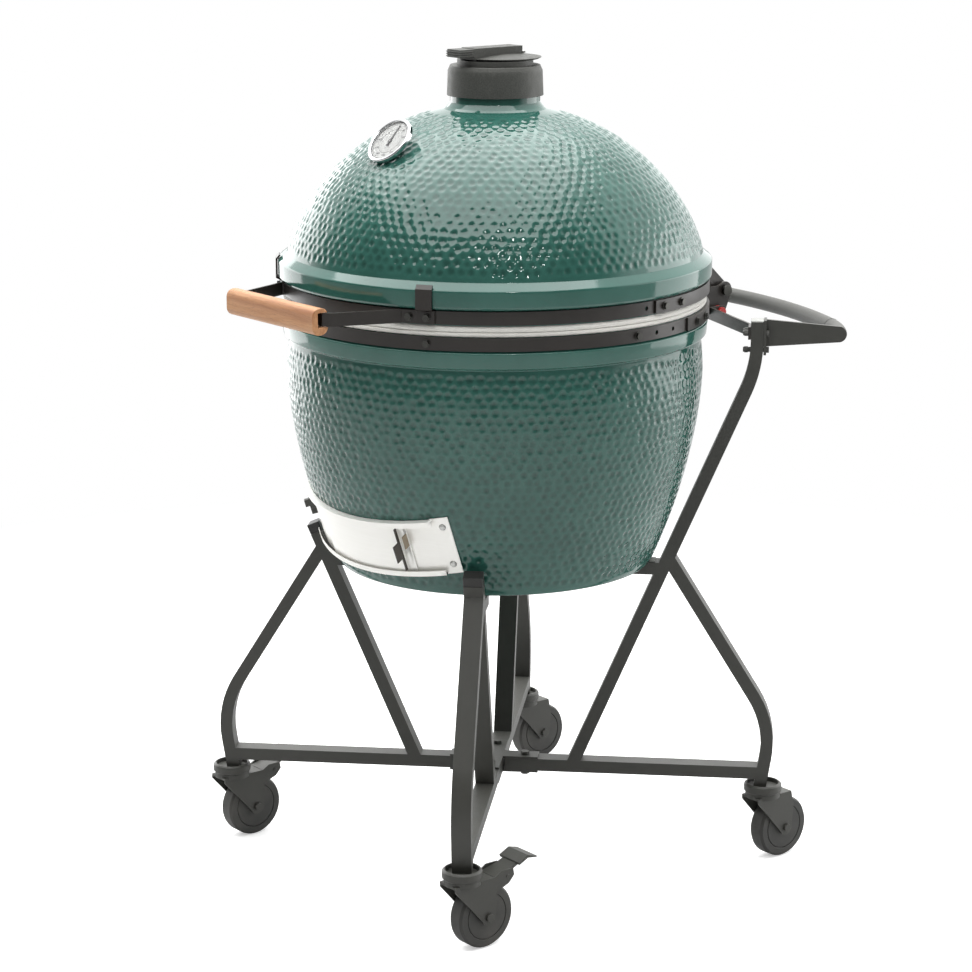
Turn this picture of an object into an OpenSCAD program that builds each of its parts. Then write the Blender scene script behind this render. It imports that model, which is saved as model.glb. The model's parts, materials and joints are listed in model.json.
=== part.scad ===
// Kamado ceramic grill on a four-wheel cart, in millimetres.
// The origin is on the floor, at the middle of the grill's width and length. +Z is up and
// -Y is the front, where the cook stands. Shapes are drawn about the egg's upright axis and
// then moved by about_egg(). An azimuth of 0 is the front and grows towards +X.

/* [Ceramic egg] */
// Outer radius of the dome's flange, the widest part of the egg
flange_r = 340; // [336:1:344]
// Height of the line where the dome meets the base
split_z = 923.5; // [921:0.5:925]
// Thickness of the ceramic wall
wall = 22; // [20:1:24]
// Radius of the chimney's outside
neck_r = 70; // [68:1:70]
// Radius of the chimney's bore
flue_r = 50; // [45:1:52]
// Half width of the draft opening, in degrees round the egg
draft_half_angle = 14; // [10:1:15]

/* [Bands and hinge] */
// Height of each clamping band
band_h = 20; // [18:1:20]
// Sheet thickness of the bands and straps
band_t = 3.5; // [3:0.1:3.6]
// Distance of the hinge pin behind the axis of the egg
pin_y = 385; // [383:1:388]
// Height of the hinge pin
pin_z = 905; // [903:1:907]
// Radius of the hinge pin
pin_r = 5; // [4:0.5:6]
// Radial running clearance of shafts in their holes
running = 0.06; // [0.03:0.01:0.09]

/* [Lifting handle] */
// Length of the wooden grip
grip_len = 226; // [200:2:230]
// Depth of the grip, front to back
grip_d = 28; // [26:1:30]
// Height of the grip
grip_h = 40; // [34:1:42]
// Distance of the grip's front face from the axis of the egg
grip_front = 430; // [426:1:434]

/* [Vent cap] */
// Outer radius of the cap's skirt
cap_r = 75; // [74:0.5:76]
// Radius of the sliding disc
disc_r = 63; // [62:0.5:64]
// Offset of the disc towards the back
disc_y = 11; // [10:0.5:11]

/* [Thermometer] */
// Radius of the thermometer's case
gauge_r = 40; // [38:0.5:41]
// Tilt of the dial's axis above the horizon, in degrees
gauge_tilt = 42; // [41:0.5:43]
// Length of the probe behind the case
probe_len = 120; // [100:5:130]

/* [Cart] */
// Width of the frame tube in the plane of each leg frame
tube_w = 20; // [18:1:22]
// Depth of the frame tube across the plane of each leg frame
tube_d = 30; // [28:1:32]
// Wall thickness of the frame tube
tube_t = 2; // [1.5:0.25:2.5]
// Distance of each caster's swivel axis from the axis of the egg
caster_reach = 438; // [434:1:442]

/* [Casters] */
// Radius of the wheels
wheel_r = 50; // [49:0.5:51]
// Width of the wheels
wheel_w = 29; // [27:1:30]
// Distance of the axle behind the swivel axis
trail = 36; // [34:1:37]
// Radius of the wheel axles
axle_r = 4; // [3.5:0.5:5]

/* [Hidden] */
$fn = 96;

glaze = "#4b7369";
ceramic = "#c9b79c";
powder = "#45453f";
band_paint = "#3c3430";
iron = "#3a3a38";
steel = "#d8d6d0";
felt = "#e6e2d8";
timber = "#d7a57d";
red_nylon = "#b02a2a";
dial_white = "#f2f0ea";

fine = 180;
gap = 0.2;

// Heights of the egg's features
rim_gap = 3;
seat_r = flange_r - 10;
dome_rim_z = split_z + rim_gap;
base_rim_z = split_z - rim_gap;
upper_band_z = split_z + 11;
lower_band_z = split_z - 8 - band_h;
flange_under_z = upper_band_z + band_h + 3;
flange_z = split_z + 61.5;
bevel_z = flange_z + 11;
collar_z = lower_band_z - 3.5;
collar_r = flange_r - 5;
skirt_z = collar_z - 23;
body_top_z = skirt_z - 1;

// The dome and the base are each a superellipse turned about the axis
dome_a = flange_r - 12.8;
dome_h = 238.7;
dome_p = 1.526;
dome_q = 2.152;
base_a = flange_r - 11.8;
base_mid_z = split_z - 113.5;
base_h = 548;
base_p = 1.625;
base_q = 1.878;
base_bottom_z = split_z - 423.5;
base_corner = 8;
neck_root_r = 80;
neck_top_z = 1262;

function super_r(t, a, h, p, q) = a * pow(max(0, 1 - pow(abs(t) / h, p)), 1 / q);
function dome_r(z) = super_r(z - flange_z, dome_a, dome_h, dome_p, dome_q);
function dome_in_r(z) =
    super_r(z - flange_z, dome_a - wall, dome_h - wall, dome_p, dome_q);
function base_r(z) = super_r(z - base_mid_z, base_a, base_h, base_p, base_q);
// Height on the dome's outside where its radius is r
function dome_z(r) = flange_z
    + dome_h * pow(1 - pow(r / dome_a, dome_q), 1 / dome_p);
function dome_in_z(r) = flange_z
    + (dome_h - wall) * pow(1 - pow(r / (dome_a - wall), dome_q), 1 / dome_p);

// The push bar is a wide arc between two tight ones, and sets where the grill ends
push_bar_r = 12.5;
arm_tip_u = 539;
arc_big = 760;
arc_small = 200;
arc_split = 25.4;
// How far the middle of the push bar lies behind its ends
arc_drop = arc_big * (1 - cos(arc_split)) + arc_small * (cos(arc_split) - cos(45));
rear_y = arm_tip_u / sqrt(2) + arc_drop + push_bar_r;
// Place of the egg's axis, which puts the origin midway between the grip and the push bar
egg_y = (grip_front - rear_y) / 2;

// n + 1 values from a to b
function steps(a, b, n) = [for (i = [0:n]) a + (b - a) * i / n];

// ---------- helpers ----------

// Moves a shape drawn about the egg's axis to the grill's own origin
module about_egg() {
    translate([0, egg_y, 0])
        children();
}

// Turns children drawn in a radius and height plane through azimuths a0 to a1
module sector(a0, a1) {
    rotate([0, 0, a0 - 90])
        rotate_extrude(angle = a1 - a0, $fn = fine)
            children();
}

// Puts children at an azimuth and height, with their own +Z pointing outwards
module radial(az, z, r = 0) {
    rotate([0, 0, az])
        rotate([90, 0, 0])
            translate([0, z, r])
                children();
}

// Rectangle between two radii and two heights
module block2d(r0, r1, z0, z1) {
    translate([r0, z0])
        square([r1 - r0, z1 - z0]);
}

module tube_ring(r_out, r_in, z0, z1) {
    translate([0, 0, z0])
        difference() {
            cylinder(r = r_out, h = z1 - z0);
            translate([0, 0, -1])
                cylinder(r = r_in, h = z1 - z0 + 2);
        }
}

function unit(v) = v / norm(v);
function left_of(v) = [-v[1], v[0]];
// Direction of the polyline at point i
function heading(p, i) = unit(
    (i < len(p) - 1 ? unit(p[i + 1] - p[i]) : [0, 0]) + (i > 0 ? unit(p[i] - p[i - 1]) : [0, 0])
);
// Offset of point i that keeps the strip's width through a bend
function side(p, i, d) = let (
    h = heading(p, i),
    s = unit(i < len(p) - 1 ? p[i + 1] - p[i] : p[i] - p[i - 1])
) p[i] + left_of(h) * d / (h * s);

// Flat strip of width w along the polyline p
module strip(p, w) {
    n = len(p) - 1;
    polygon(concat(
        [for (i = [0:n]) side(p, i, w / 2)],
        [for (i = [n:-1:0]) side(p, i, -w / 2)]
    ));
}

// Arc of radius r that rounds the corner b between a and c
function rounded(a, b, c, r, n = 8) = let (
    u = unit(a - b),
    v = unit(c - b),
    half = acos(u * v) / 2,
    reach = r / tan(half),
    centre = b + unit(u + v) * r / sin(half),
    from = b + u * reach - centre,
    to = b + v * reach - centre,
    start = atan2(from[1], from[0]),
    raw = atan2(to[1], to[0]) - start,
    turn = raw > 180 ? raw - 360 : raw < -180 ? raw + 360 : raw
) [for (i = [0:n]) centre + r * [cos(start + turn * i / n), sin(start + turn * i / n)]];

module hex_head(r, h) {
    cylinder(r = r, h = h, $fn = 6);
}

// ---------- ceramic ----------

module base_profile() {
    floor_z = base_bottom_z + 30;
    polygon(concat(
        [[0, base_bottom_z], [base_r(base_bottom_z) - base_corner, base_bottom_z]],
        [for (z = steps(base_bottom_z + base_corner, body_top_z, 16)) [base_r(z), z]],
        [
            [collar_r - 2, skirt_z],
            [collar_r, collar_z],
            [seat_r, collar_z + 2],
            [seat_r, base_rim_z],
            [seat_r - wall, base_rim_z]
        ],
        [for (z = steps(body_top_z, floor_z + 12, 14)) [base_r(z) - wall, z]],
        [[base_r(floor_z) - wall - 12, floor_z], [0, floor_z]]
    ));
}

draft_z0 = 540;
draft_z1 = 608;

module base_shell() {
    color(glaze)
        about_egg()
            difference() {
                rotate_extrude($fn = fine)
                    base_profile();
                sector(-draft_half_angle, draft_half_angle)
                    block2d(150, flange_r, draft_z0, draft_z1);
                on_draft()
                    union() {
                        sector(-seat_half, seat_half)
                            block2d(frame_in - gap, flange_r, -plate_half_h - 1, plate_half_h + 1);
                        draft_screw_places(frame_in - 12)
                            cylinder(r = 2.2, h = 20, $fn = 24);
                    }
            }
}

module dome_profile() {
    polygon(concat(
        [
            [seat_r - wall, dome_rim_z],
            [seat_r, dome_rim_z],
            [seat_r, flange_under_z - 2],
            [flange_r - 3, flange_under_z],
            [flange_r, flange_under_z + 3],
            [flange_r, flange_z],
            [dome_r(bevel_z), bevel_z]
        ],
        [for (z = steps(bevel_z + 8, 1185, 12)) [dome_r(z), z]],
        [for (r = steps(170, neck_root_r, 6)) [r, dome_z(r)]],
        [
            [neck_root_r - 3, dome_z(neck_root_r) + 4],
            [neck_r + 1, dome_z(neck_root_r) + 8],
            [neck_r, dome_z(neck_root_r) + 11],
            [neck_r, neck_top_z],
            [flue_r, neck_top_z]
        ],
        [for (r = steps(flue_r, 150, 6)) [r, dome_in_z(r)]],
        [for (z = steps(1160, flange_z + 5, 9)) [dome_in_r(z), z]]
    ));
}

module dome_shell() {
    color(glaze)
        about_egg()
            difference() {
                rotate_extrude($fn = fine)
                    dome_profile();
                on_gauge()
                    translate([0, 0, -80])
                        cylinder(r = 9, h = 90);
            }
}

module base_gasket() {
    color(felt)
        about_egg()
            tube_ring(seat_r - 1, seat_r - wall + 3, base_rim_z, split_z - gap);
}

module dome_gasket() {
    color(felt)
        about_egg()
            tube_ring(seat_r - 1, seat_r - wall + 3, split_z + gap, dome_rim_z);
}

// ---------- fire box and grids ----------

box_z0 = base_bottom_z + 31;
box_z1 = split_z - 165.5;
box_slot_half = 24;

grate_z = box_z0 + 69;

module fire_box() {
    floor_t = 20;
    color(ceramic)
        about_egg()
            difference() {
                rotate_extrude($fn = fine)
                    polygon([
                        [0, box_z0], [200, box_z0], [204, box_z0 + 4], [280, box_z1],
                        [256, box_z1], [208, grate_z], [180, grate_z], [180, box_z0 + floor_t],
                        [0, box_z0 + floor_t]
                    ]);
                sector(-box_slot_half, box_slot_half)
                    block2d(120, 260, box_z0 + floor_t, grate_z - 8);
                for (k = [0:11])
                    radial(k * 30 + 15, grate_z + 40, 180)
                        cylinder(r = 9, h = 80, $fn = 32);
            }
}

module fire_grate() {
    grate_r = 202;
    color(iron)
        about_egg()
            translate([0, 0, grate_z + gap])
                difference() {
                    cylinder(r = grate_r, h = 12, $fn = fine);
                    for (k = [-5:5])
                        grate_slot(k * 28, sqrt(pow(grate_r - 16, 2) - pow(k * 28 + 8, 2)));
                }
}

module grate_slot(x, half) {
    translate([x - 7, -half, -1])
        cube([14, half - 8, 14]);
    translate([x - 7, 8, -1])
        cube([14, half - 8, 14]);
}

ring_z1 = split_z - 24.5;

module fire_ring() {
    color(ceramic)
        about_egg()
            difference() {
                rotate_extrude($fn = fine)
                    block2d(266, 292, box_z1 + gap, ring_z1);
                for (az = [90, 270])
                    radial(az, ring_z1, 240)
                        cylinder(r = 20, h = 80);
            }
}

grid_r = 300;
bar_r = 3;
grid_z = ring_z1 + gap + 2 * bar_r;

module cooking_grid() {
    pitch = 17;
    bar_reach = grid_r - bar_r;
    color(steel)
        about_egg()
            union() {
                tube_ring(grid_r, grid_r - 2 * bar_r - 1, ring_z1 + gap, grid_z + bar_r / 2);
                for (k = [-16:16])
                    grid_bar(k * pitch, sqrt(pow(bar_reach, 2) - pow(k * pitch, 2)), 0);
                for (x = [-150, 0, 150])
                    grid_bar(x, sqrt(pow(bar_reach, 2) - x * x), 90);
            }
}

// Round bar at x; the cross bars, turned by 90 degrees, lie a little lower
module grid_bar(x, half, turn) {
    rotate([0, 0, turn])
        translate([x, half, grid_z - turn / 90 * (bar_r - 0.5)])
            rotate([90, 0, 0])
                cylinder(r = bar_r, h = 2 * half, $fn = 16);
}

// ---------- draft door ----------

// Everything here is bent about one axis, which leans forward so that it is square to the
// egg's wall. Heights are measured along that axis, from the middle of the door.
draft_lean = 19;
draft_axis = [0, 2.7, 667.1];
frame_in = 298;
lip_out = 307;
sheet = 1.2;
channel_half_h = 46.5;
lip_h = 8.5;
rail_half = 32.8;
plate_half = 37.5;
plate_half_h = 48;
plate_in = frame_in + 0.4;
seat_half = plate_half + 1;
screw_az = 35.2;
screw_h = 32;
screen_in = frame_in + sheet + 0.7;
door_in = screen_in + sheet + 0.4;
leaf_half_h = 42;
fold_half_h = leaf_half_h - 6;

module on_draft() {
    translate(draft_axis)
        rotate([draft_lean, 0, 0])
            children();
}

module draft_screw_places(r) {
    for (s = [-1, 1], k = [-1, 1])
        radial(s * screw_az, k * screw_h, r)
            children();
}

// Section of the back sheet with the channel that runs along each of its edges
module channel2d() {
    h = channel_half_h;
    lip_in = lip_out - sheet;
    back = frame_in + sheet;
    polygon([
        [frame_in, -h], [lip_out, -h], [lip_out, lip_h - h], [lip_in, lip_h - h],
        [lip_in, sheet - h], [back, sheet - h], [back, h - sheet], [lip_in, h - sheet],
        [lip_in, h - lip_h], [lip_out, h - lip_h], [lip_out, h], [frame_in, h]
    ]);
}

module draft_frame() {
    color(steel)
        about_egg()
            difference() {
                on_draft()
                    difference() {
                        union() {
                            sector(-rail_half, rail_half)
                                channel2d();
                            for (a = [-plate_half, rail_half - 1])
                                sector(a, a + plate_half - rail_half + 1)
                                    block2d(plate_in, plate_in + sheet, -plate_half_h, plate_half_h);
                        }
                        draft_screw_places(frame_in - 5)
                            cylinder(r = 2.2, h = 20, $fn = 24);
                    }
                sector(-draft_half_angle, draft_half_angle)
                    block2d(200, flange_r, draft_z0, draft_z1);
            }
}

module draft_frame_screws() {
    color(steel)
        about_egg()
            on_draft()
                draft_screw_places(frame_in - 8)
                    union() {
                        cylinder(r = 2, h = 10, $fn = 24);
                        translate([0, 0, plate_in + sheet + gap - frame_in + 8])
                            cylinder(r1 = 5.5, r2 = 3.5, h = 2.6, $fn = 32);
                    }
}

// Bumper on the left end plate, where the door stops
module draft_stop() {
    from = plate_in + sheet + gap;
    color(powder)
        about_egg()
            on_draft()
                union() {
                    sector(-37.3, -36.2)
                        block2d(from, 311, -21, 7);
                    sector(-37.4, -36.1)
                        block2d(from + 2, 317.5, -6, 6);
                }
}

// Leaf of the door from azimuth a0 to a1, with a finger tab turned out near its right end
// and with its right edge folded out by fold
module draft_leaf(r, a0, a1, tab, fold) {
    union() {
        sector(a0, a1)
            block2d(r, r + sheet, -leaf_half_h, leaf_half_h);
        sector(a1 - 0.6, a1 - 0.3)
            block2d(r, r + tab[0], tab[1], tab[2]);
        if (fold > 0)
            sector(a1 - 0.6, a1 - 0.3)
                block2d(r, r + sheet + fold, -fold_half_h, fold_half_h);
    }
}

module draft_door() {
    color(steel)
        about_egg()
            on_draft()
                draft_leaf(door_in, -14, 20.8, [20, -15, 13], 5);
}

module draft_screen() {
    color(steel)
        about_egg()
            on_draft()
                difference() {
                    draft_leaf(screen_in, -13, 23.6, [13, 5, 26], 0);
                    for (k = [0:5], j = [-2:2])
                        radial(k * 4.6 - 10, j * 13 + 3, 250)
                            cylinder(r = 3.2, h = 80, $fn = 16);
                }
}

// ---------- bands and hinge ----------

band_in = seat_r + gap;
band_out = band_in + band_t;
strap_in = band_out + gap;
strap_out = strap_in + 3;
bolt_r = 3;
bolt_hole_r = 3.3;
shelf_hole_az = [98, 105];
upper_hole_az = 94;
lower_bolt_az = [33.7, 91];
handle_bolt_az = [29.3, 34];
upper_hinge_bolt_az = [100.5, 108];
lower_hinge_bolt_az = [118, 126];
upper_mid_z = upper_band_z + band_h / 2;
lower_mid_z = lower_band_z + band_h / 2;

module band_holes(list, z) {
    for (az = list, s = [-1, 1])
        radial(s * az, z, band_in - 8)
            cylinder(r = bolt_hole_r, h = 40, $fn = 32);
}

module band_bolts(list, z, face) {
    for (az = list, s = [-1, 1])
        radial(s * az, z, band_in + gap)
            union() {
                cylinder(r = bolt_r, h = face - band_in, $fn = 32);
                translate([0, 0, face - band_in])
                    cylinder(r = 6.5, h = 1.2, $fn = 32);
                translate([0, 0, face - band_in + 1])
                    hex_head(5.6, 4);
            }
}

module lower_band() {
    color(band_paint)
        about_egg()
            difference() {
                tube_ring(band_out, band_in, lower_band_z, lower_band_z + band_h, $fn = fine);
                band_holes(concat(lower_bolt_az, lower_hinge_bolt_az, shelf_hole_az), lower_mid_z);
            }
}

module upper_band() {
    color(band_paint)
        about_egg()
            difference() {
                tube_ring(band_out, band_in, upper_band_z, upper_band_z + band_h, $fn = fine);
                band_holes(concat(handle_bolt_az, upper_hinge_bolt_az, [upper_hole_az]), upper_mid_z);
            }
}

module lower_band_bolts() {
    color(powder)
        about_egg()
            union() {
                band_bolts(lower_bolt_az, lower_mid_z, band_out);
                band_bolts(lower_hinge_bolt_az, lower_mid_z, strap_out);
            }
}

module upper_band_bolts() {
    color(powder)
        about_egg()
            band_bolts(concat(handle_bolt_az, upper_hinge_bolt_az), upper_mid_z, strap_out);
}

upper_ear_x = 106;
lower_ear_x = 116;
ear_t = 4;
stay_y = 368;
stay_z = 872;

module hinge_lower_bracket() {
    color(band_paint)
        about_egg()
            difference() {
                union() {
                    sector(112, 248)
                        block2d(strap_in, strap_out, lower_band_z, lower_band_z + band_h);
                    for (s = [-1, 1])
                        translate([s * lower_ear_x - ear_t / 2, 0, 0])
                            rotate([90, 0, 90])
                                linear_extrude(ear_t)
                                    union() {
                                        polygon([
                                            [314.5, lower_band_z], [352, stay_z - 12],
                                            [374, stay_z - 14], [384, stay_z - 6],
                                            [398, pin_z - 6], [pin_y, pin_z + 14],
                                            [370, pin_z + 8], [314.5, lower_band_z + band_h]
                                        ]);
                                        translate([pin_y, pin_z])
                                            circle(r = 14);
                                    }
                }
                pin_hole(bolt_hole_r + 2);
                band_holes(lower_hinge_bolt_az, lower_mid_z);
                for (s = [-1, 1])
                    translate([s * lower_ear_x, stay_y, stay_z])
                        rotate([0, 90, 0])
                            cylinder(r = 4.3, h = 20, center = true, $fn = 32);
            }
}

module pin_hole(r) {
    translate([0, pin_y, pin_z])
        rotate([0, 90, 0])
            cylinder(r = r, h = 300, center = true, $fn = 48);
}

module hinge_upper_bracket() {
    color(band_paint)
        about_egg()
            difference() {
                union() {
                    sector(97, 263)
                        block2d(strap_in, strap_out, upper_band_z, upper_band_z + band_h);
                    for (s = [-1, 1])
                        translate([s * upper_ear_x - ear_t / 2, 0, 0])
                            rotate([90, 0, 90])
                                linear_extrude(ear_t)
                                    union() {
                                        polygon([
                                            [318, upper_band_z], [374, pin_z - 8],
                                            [pin_y, pin_z - 13], [398, pin_z - 4],
                                            [397, pin_z + 8], [352, upper_band_z + band_h],
                                            [318, upper_band_z + band_h]
                                        ]);
                                        translate([pin_y, pin_z])
                                            circle(r = 14);
                                    }
                }
                pin_hole(pin_r + running);
                band_holes(upper_hinge_bolt_az, upper_mid_z);
            }
}

module hinge_pin() {
    half = lower_ear_x + ear_t / 2 + 1;
    color(steel)
        about_egg()
            translate([0, pin_y, pin_z])
                rotate([0, 90, 0])
                    union() {
                        cylinder(r = pin_r, h = 2 * half, center = true, $fn = 48);
                        for (s = [-1, 1])
                            translate([0, 0, s * (half + 3)])
                                cylinder(r = 9, h = 6, center = true, $fn = 48);
                    }
}

// Torsion spring as a helix of small rings, wound round the hinge pin
module coil(x0, x1, turns, r, wire) {
    n = 16;
    m = 6;
    count = turns * n;
    points = [
        for (i = [0:count], j = [0:m - 1]) let (
            a = i * 360 / n,
            b = j * 360 / m,
            rr = r + wire * cos(b)
        ) [x0 + (x1 - x0) * i / count + wire * sin(b), rr * cos(a), rr * sin(a)]
    ];
    walls = [
        for (i = [0:count - 1], j = [0:m - 1]) [
            i * m + j, i * m + (j + 1) % m, (i + 1) * m + (j + 1) % m, (i + 1) * m + j
        ]
    ];
    polyhedron(
        points,
        concat(
            walls,
            [[for (j = [m - 1:-1:0]) j]],
            [[for (j = [0:m - 1]) count * m + j]]
        )
    );
}

module hinge_springs() {
    color(steel)
        about_egg()
            for (s = [-1, 1])
                translate([s > 0 ? 30 : -100, pin_y, pin_z])
                    coil(0, 70, 8, 11, 2.5);
}

// ---------- lifting handle ----------

grip_rear = grip_front - grip_d;
slot_d = 18;
bar_y = -(grip_rear + 7);
// The grip hangs a little below the middle of the bar inside it
grip_mid_z = upper_mid_z - 2;

module handle_bracket() {
    land = 27.3;
    start = [strap_mid() * sin(land), -strap_mid() * cos(land)];
    inner = [grip_len / 2 - 4, bar_y];
    near = [grip_len / 2 + 5, bar_y + 12];
    color(band_paint)
        about_egg()
            difference() {
                union() {
                    for (s = [-1, 1])
                        scale([s, 1, 1])
                            translate([0, 0, upper_band_z])
                                linear_extrude(band_h)
                                    strip([[0, bar_y], inner, near, start], 3);
                    sector(26.6, 36.1)
                        block2d(strap_in, strap_out, upper_band_z, upper_band_z + band_h);
                    sector(-36.1, -26.6)
                        block2d(strap_in, strap_out, upper_band_z, upper_band_z + band_h);
                    sector(31.5, 35.7)
                        hook_profile();
                    sector(-35.7, -31.5)
                        hook_profile();
                }
                band_holes(handle_bolt_az, upper_mid_z);
                for (x = [-70, 0, 70])
                    translate([x, bar_y, upper_mid_z])
                        rotate([90, 0, 0])
                            cylinder(r = 2.3, h = 20, center = true, $fn = 24);
            }
}

function strap_mid() = (strap_in + strap_out) / 2;

// Tab that rises from the strap, passes outside the flange and hooks over its bevel
module hook_profile() {
    face = flange_r + 1;
    top = upper_band_z + band_h;
    inset = 0.5;
    polygon([
        [strap_in + inset, top - 6], [strap_out - inset, top - 6], [strap_out - inset, top - 2],
        [face + 3, top + 2], [face + 3, flange_z + 2], [face - 2.6, flange_z + 8.2],
        [face - 4.8, flange_z + 6.4], [face, flange_z + 1], [face, top + 4],
        [strap_in + inset, top + 1]
    ]);
}

module handle_grip() {
    r = 12;
    mid = [-(grip_front + grip_rear) / 2, grip_mid_z];
    color(timber)
        about_egg()
            difference() {
                translate([-grip_len / 2, 0, 0])
                    rotate([90, 0, 90])
                        linear_extrude(grip_len)
                            translate(mid)
                                union() {
                                    square([grip_d, grip_h - 2 * r], center = true);
                                    square([grip_d - 2 * r, grip_h], center = true);
                                    for (sx = [-1, 1], sy = [-1, 1])
                                        translate([sx * (grip_d / 2 - r), sy * (grip_h / 2 - r)])
                                            circle(r = r);
                                }
                translate([-grip_len / 2 - 1, -grip_rear - slot_d, upper_mid_z - 11])
                    cube([grip_len + 2, slot_d + 1, 22]);
            }
}

module handle_screws() {
    color(steel)
        about_egg()
            for (x = [-70, 0, 70])
                translate([x, bar_y + 1.7, upper_mid_z])
                    rotate([90, 0, 0])
                        union() {
                            cylinder(r = 2, h = slot_d - 7.3, $fn = 24);
                            translate([0, 0, -2])
                                cylinder(r = 4, h = 2, $fn = 32);
                        }
}

// ---------- vent cap ----------

cap_top = 1283;
throat_top = 1292;
disc_z = throat_top + gap;
vent_pin_y = 55;
vent_pin_r = 3;

module vent_collar() {
    color(iron)
        about_egg()
            difference() {
                rotate_extrude()
                    polygon([
                        [neck_r + 0.6, 1237], [cap_r, 1237], [cap_r - 1.5, 1275],
                        [cap_r - 5, cap_top], [59, cap_top], [59, throat_top],
                        [flue_r + 1, throat_top - 2], [flue_r + 1, neck_top_z + 1],
                        [neck_r + 0.6, neck_top_z + 1]
                    ]);
                translate([0, vent_pin_y, throat_top - 14])
                    cylinder(r = vent_pin_r + 0.2, h = 20, $fn = 32);
            }
}

module vent_pivot_pin() {
    color(steel)
        about_egg()
            translate([0, vent_pin_y, throat_top - 13])
                union() {
                    cylinder(r = vent_pin_r, h = 20, $fn = 32);
                    translate([0, 0, 19.8])
                        cylinder(r = 6, h = 3, $fn = 32);
                }
}

module vent_disc() {
    bar_w = 33;
    bar_front = -81;
    bar_back = 41;
    color(iron)
        about_egg()
            difference() {
                union() {
                    translate([0, disc_y, 0])
                        rotate_extrude()
                            polygon(concat(
                                [[0, disc_z], [disc_r - 4, disc_z], [disc_r, disc_z + 2]],
                                [for (k = [0:6]) [disc_r * (1 - k / 6), disc_z + 3 + 5 * sin(k * 15)]]
                            ));
                    translate([-bar_w / 2, bar_front + 28, disc_z + 1])
                        cube([bar_w, bar_back - bar_front - 28, 18]);
                    translate([-bar_w / 2, bar_front, disc_z + 6])
                        cube([bar_w, 40, 12]);
                }
                translate([0, vent_pin_y, disc_z - 1])
                    cylinder(r = vent_pin_r + running, h = 30, $fn = 32);
            }
}

// ---------- thermometer ----------

gauge_face = [0, -206, 1182.5];
gauge_depth = 9;

// Puts children on the gauge's axis, with z = 0 at the back of its case
module on_gauge() {
    translate(gauge_face)
        rotate([90 - gauge_tilt, 0, 0])
            translate([0, 0, -gauge_depth])
                children();
}

module thermometer_case() {
    color(steel)
        about_egg()
            on_gauge()
                union() {
                    rotate_extrude()
                        polygon([
                            [0, 0], [gauge_r - 3, 0], [gauge_r, 2], [gauge_r, 7.6],
                            [gauge_r - 1.4, gauge_depth], [gauge_r - 4.8, 8.3],
                            [gauge_r - 4, 8], [gauge_r - 4, 3], [0, 3]
                        ]);
                    translate([0, 0, -24])
                        cylinder(r = 7, h = 24.5, $fn = 48);
                    translate([0, 0, -probe_len])
                        cylinder(r = 3, h = probe_len, $fn = 32);
                }
}

module thermometer_dial() {
    color(dial_white)
        about_egg()
            on_gauge()
                union() {
                    translate([0, 0, 3 + gap])
                        cylinder(r = gauge_r - 4.3, h = 0.8);
                    cylinder_at(1, 3.5, 6);
                }
}

module cylinder_at(r, z0, z1) {
    translate([0, 0, z0])
        cylinder(r = r, h = z1 - z0, $fn = 32);
}

module thermometer_lens() {
    color("white", 0.3)
        about_egg()
            on_gauge()
                translate([0, 0, 6.5])
                    cylinder(r = gauge_r - 4.3, h = 1.4);
}

module thermometer_needle() {
    color("#202020")
        about_egg()
            on_gauge()
                difference() {
                    union() {
                        translate([0, 0, 4.6])
                            linear_extrude(0.7)
                                polygon([
                                    [-2.4, -9], [2.4, -9], [1.6, 0],
                                    [0.5, 29], [-0.5, 29], [-1.6, 0]
                                ]);
                        cylinder_at(3.6, 4.6, 5.6);
                    }
                    cylinder_at(1 + running, 4, 7);
                }
}

// ---------- cart ----------

bar_z = 150;
node_u = 278;
node_z = 508;
post_foot = [127, bar_z];
post_slope = 0.437;
post_top_u = 413;
post_top_z = split_z - 34.5;
shin_foot = [caster_reach - 5, 126];
knee = [450, 231];
front_tip_z = 531;
pad_t = 2;
stub_z = base_bottom_z - pad_t - 2 * gap - tube_w / 2;
// Distance of the stub's inner end from the axis of the egg, well under the egg
stub_in = 215;
// Distance of the pad's outer end, clear of the leg's post
pad_out = 259;
hub_half = 16;

function post_u(z) = node_u + (z - node_z) * post_slope;
knee_z = node_z + (post_top_u - node_u) / post_slope;
rear_post = concat(
    [post_foot],
    rounded(post_foot, [post_top_u, knee_z], [post_top_u, post_top_z], 200),
    [[post_top_u, post_top_z]]
);
front_post = [post_foot, [post_u(front_tip_z), front_tip_z]];
shin = concat([shin_foot], rounded(shin_foot, knee, [node_u, node_z], 150), [[node_u, node_z]]);
bar = [[hub_half + 2, bar_z], [caster_reach, bar_z]];

module frame2d(post) {
    strip(post, tube_w);
    strip(shin, tube_w);
    strip(bar, tube_w);
    polygon([
        [stub_in, stub_z + tube_w / 2], [node_u + 2, stub_z + tube_w / 2],
        [node_u - 12, stub_z - tube_w / 2], [stub_in, stub_z - tube_w / 2]
    ]);
}

// Places a leg's plane, drawn with x as distance from the egg's axis and y as height
module in_leg_plane(az) {
    rotate([0, 0, az - 90])
        rotate([90, 0, 0])
            children();
}

module leg(az, post, bolted) {
    color(powder)
        about_egg()
            in_leg_plane(az)
                difference() {
                    linear_extrude(tube_d, center = true)
                        frame2d(post);
                    leg_bore(post);
                    translate([50, bar_z, 0])
                        rotate([90, 0, 0])
                            cylinder(r = 4.3, h = 60, center = true, $fn = 32);
                    if (bolted)
                        handle_bolt_holes(4.3);
                }
}

// The hollow of the post, open at its top end
module leg_bore(post) {
    last = post[len(post) - 1];
    way = unit(last - post[len(post) - 2]);
    linear_extrude(tube_d - 2 * tube_t, center = true)
        strip(concat(post, [last + way * 2]), tube_w - 2 * tube_t);
}

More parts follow.
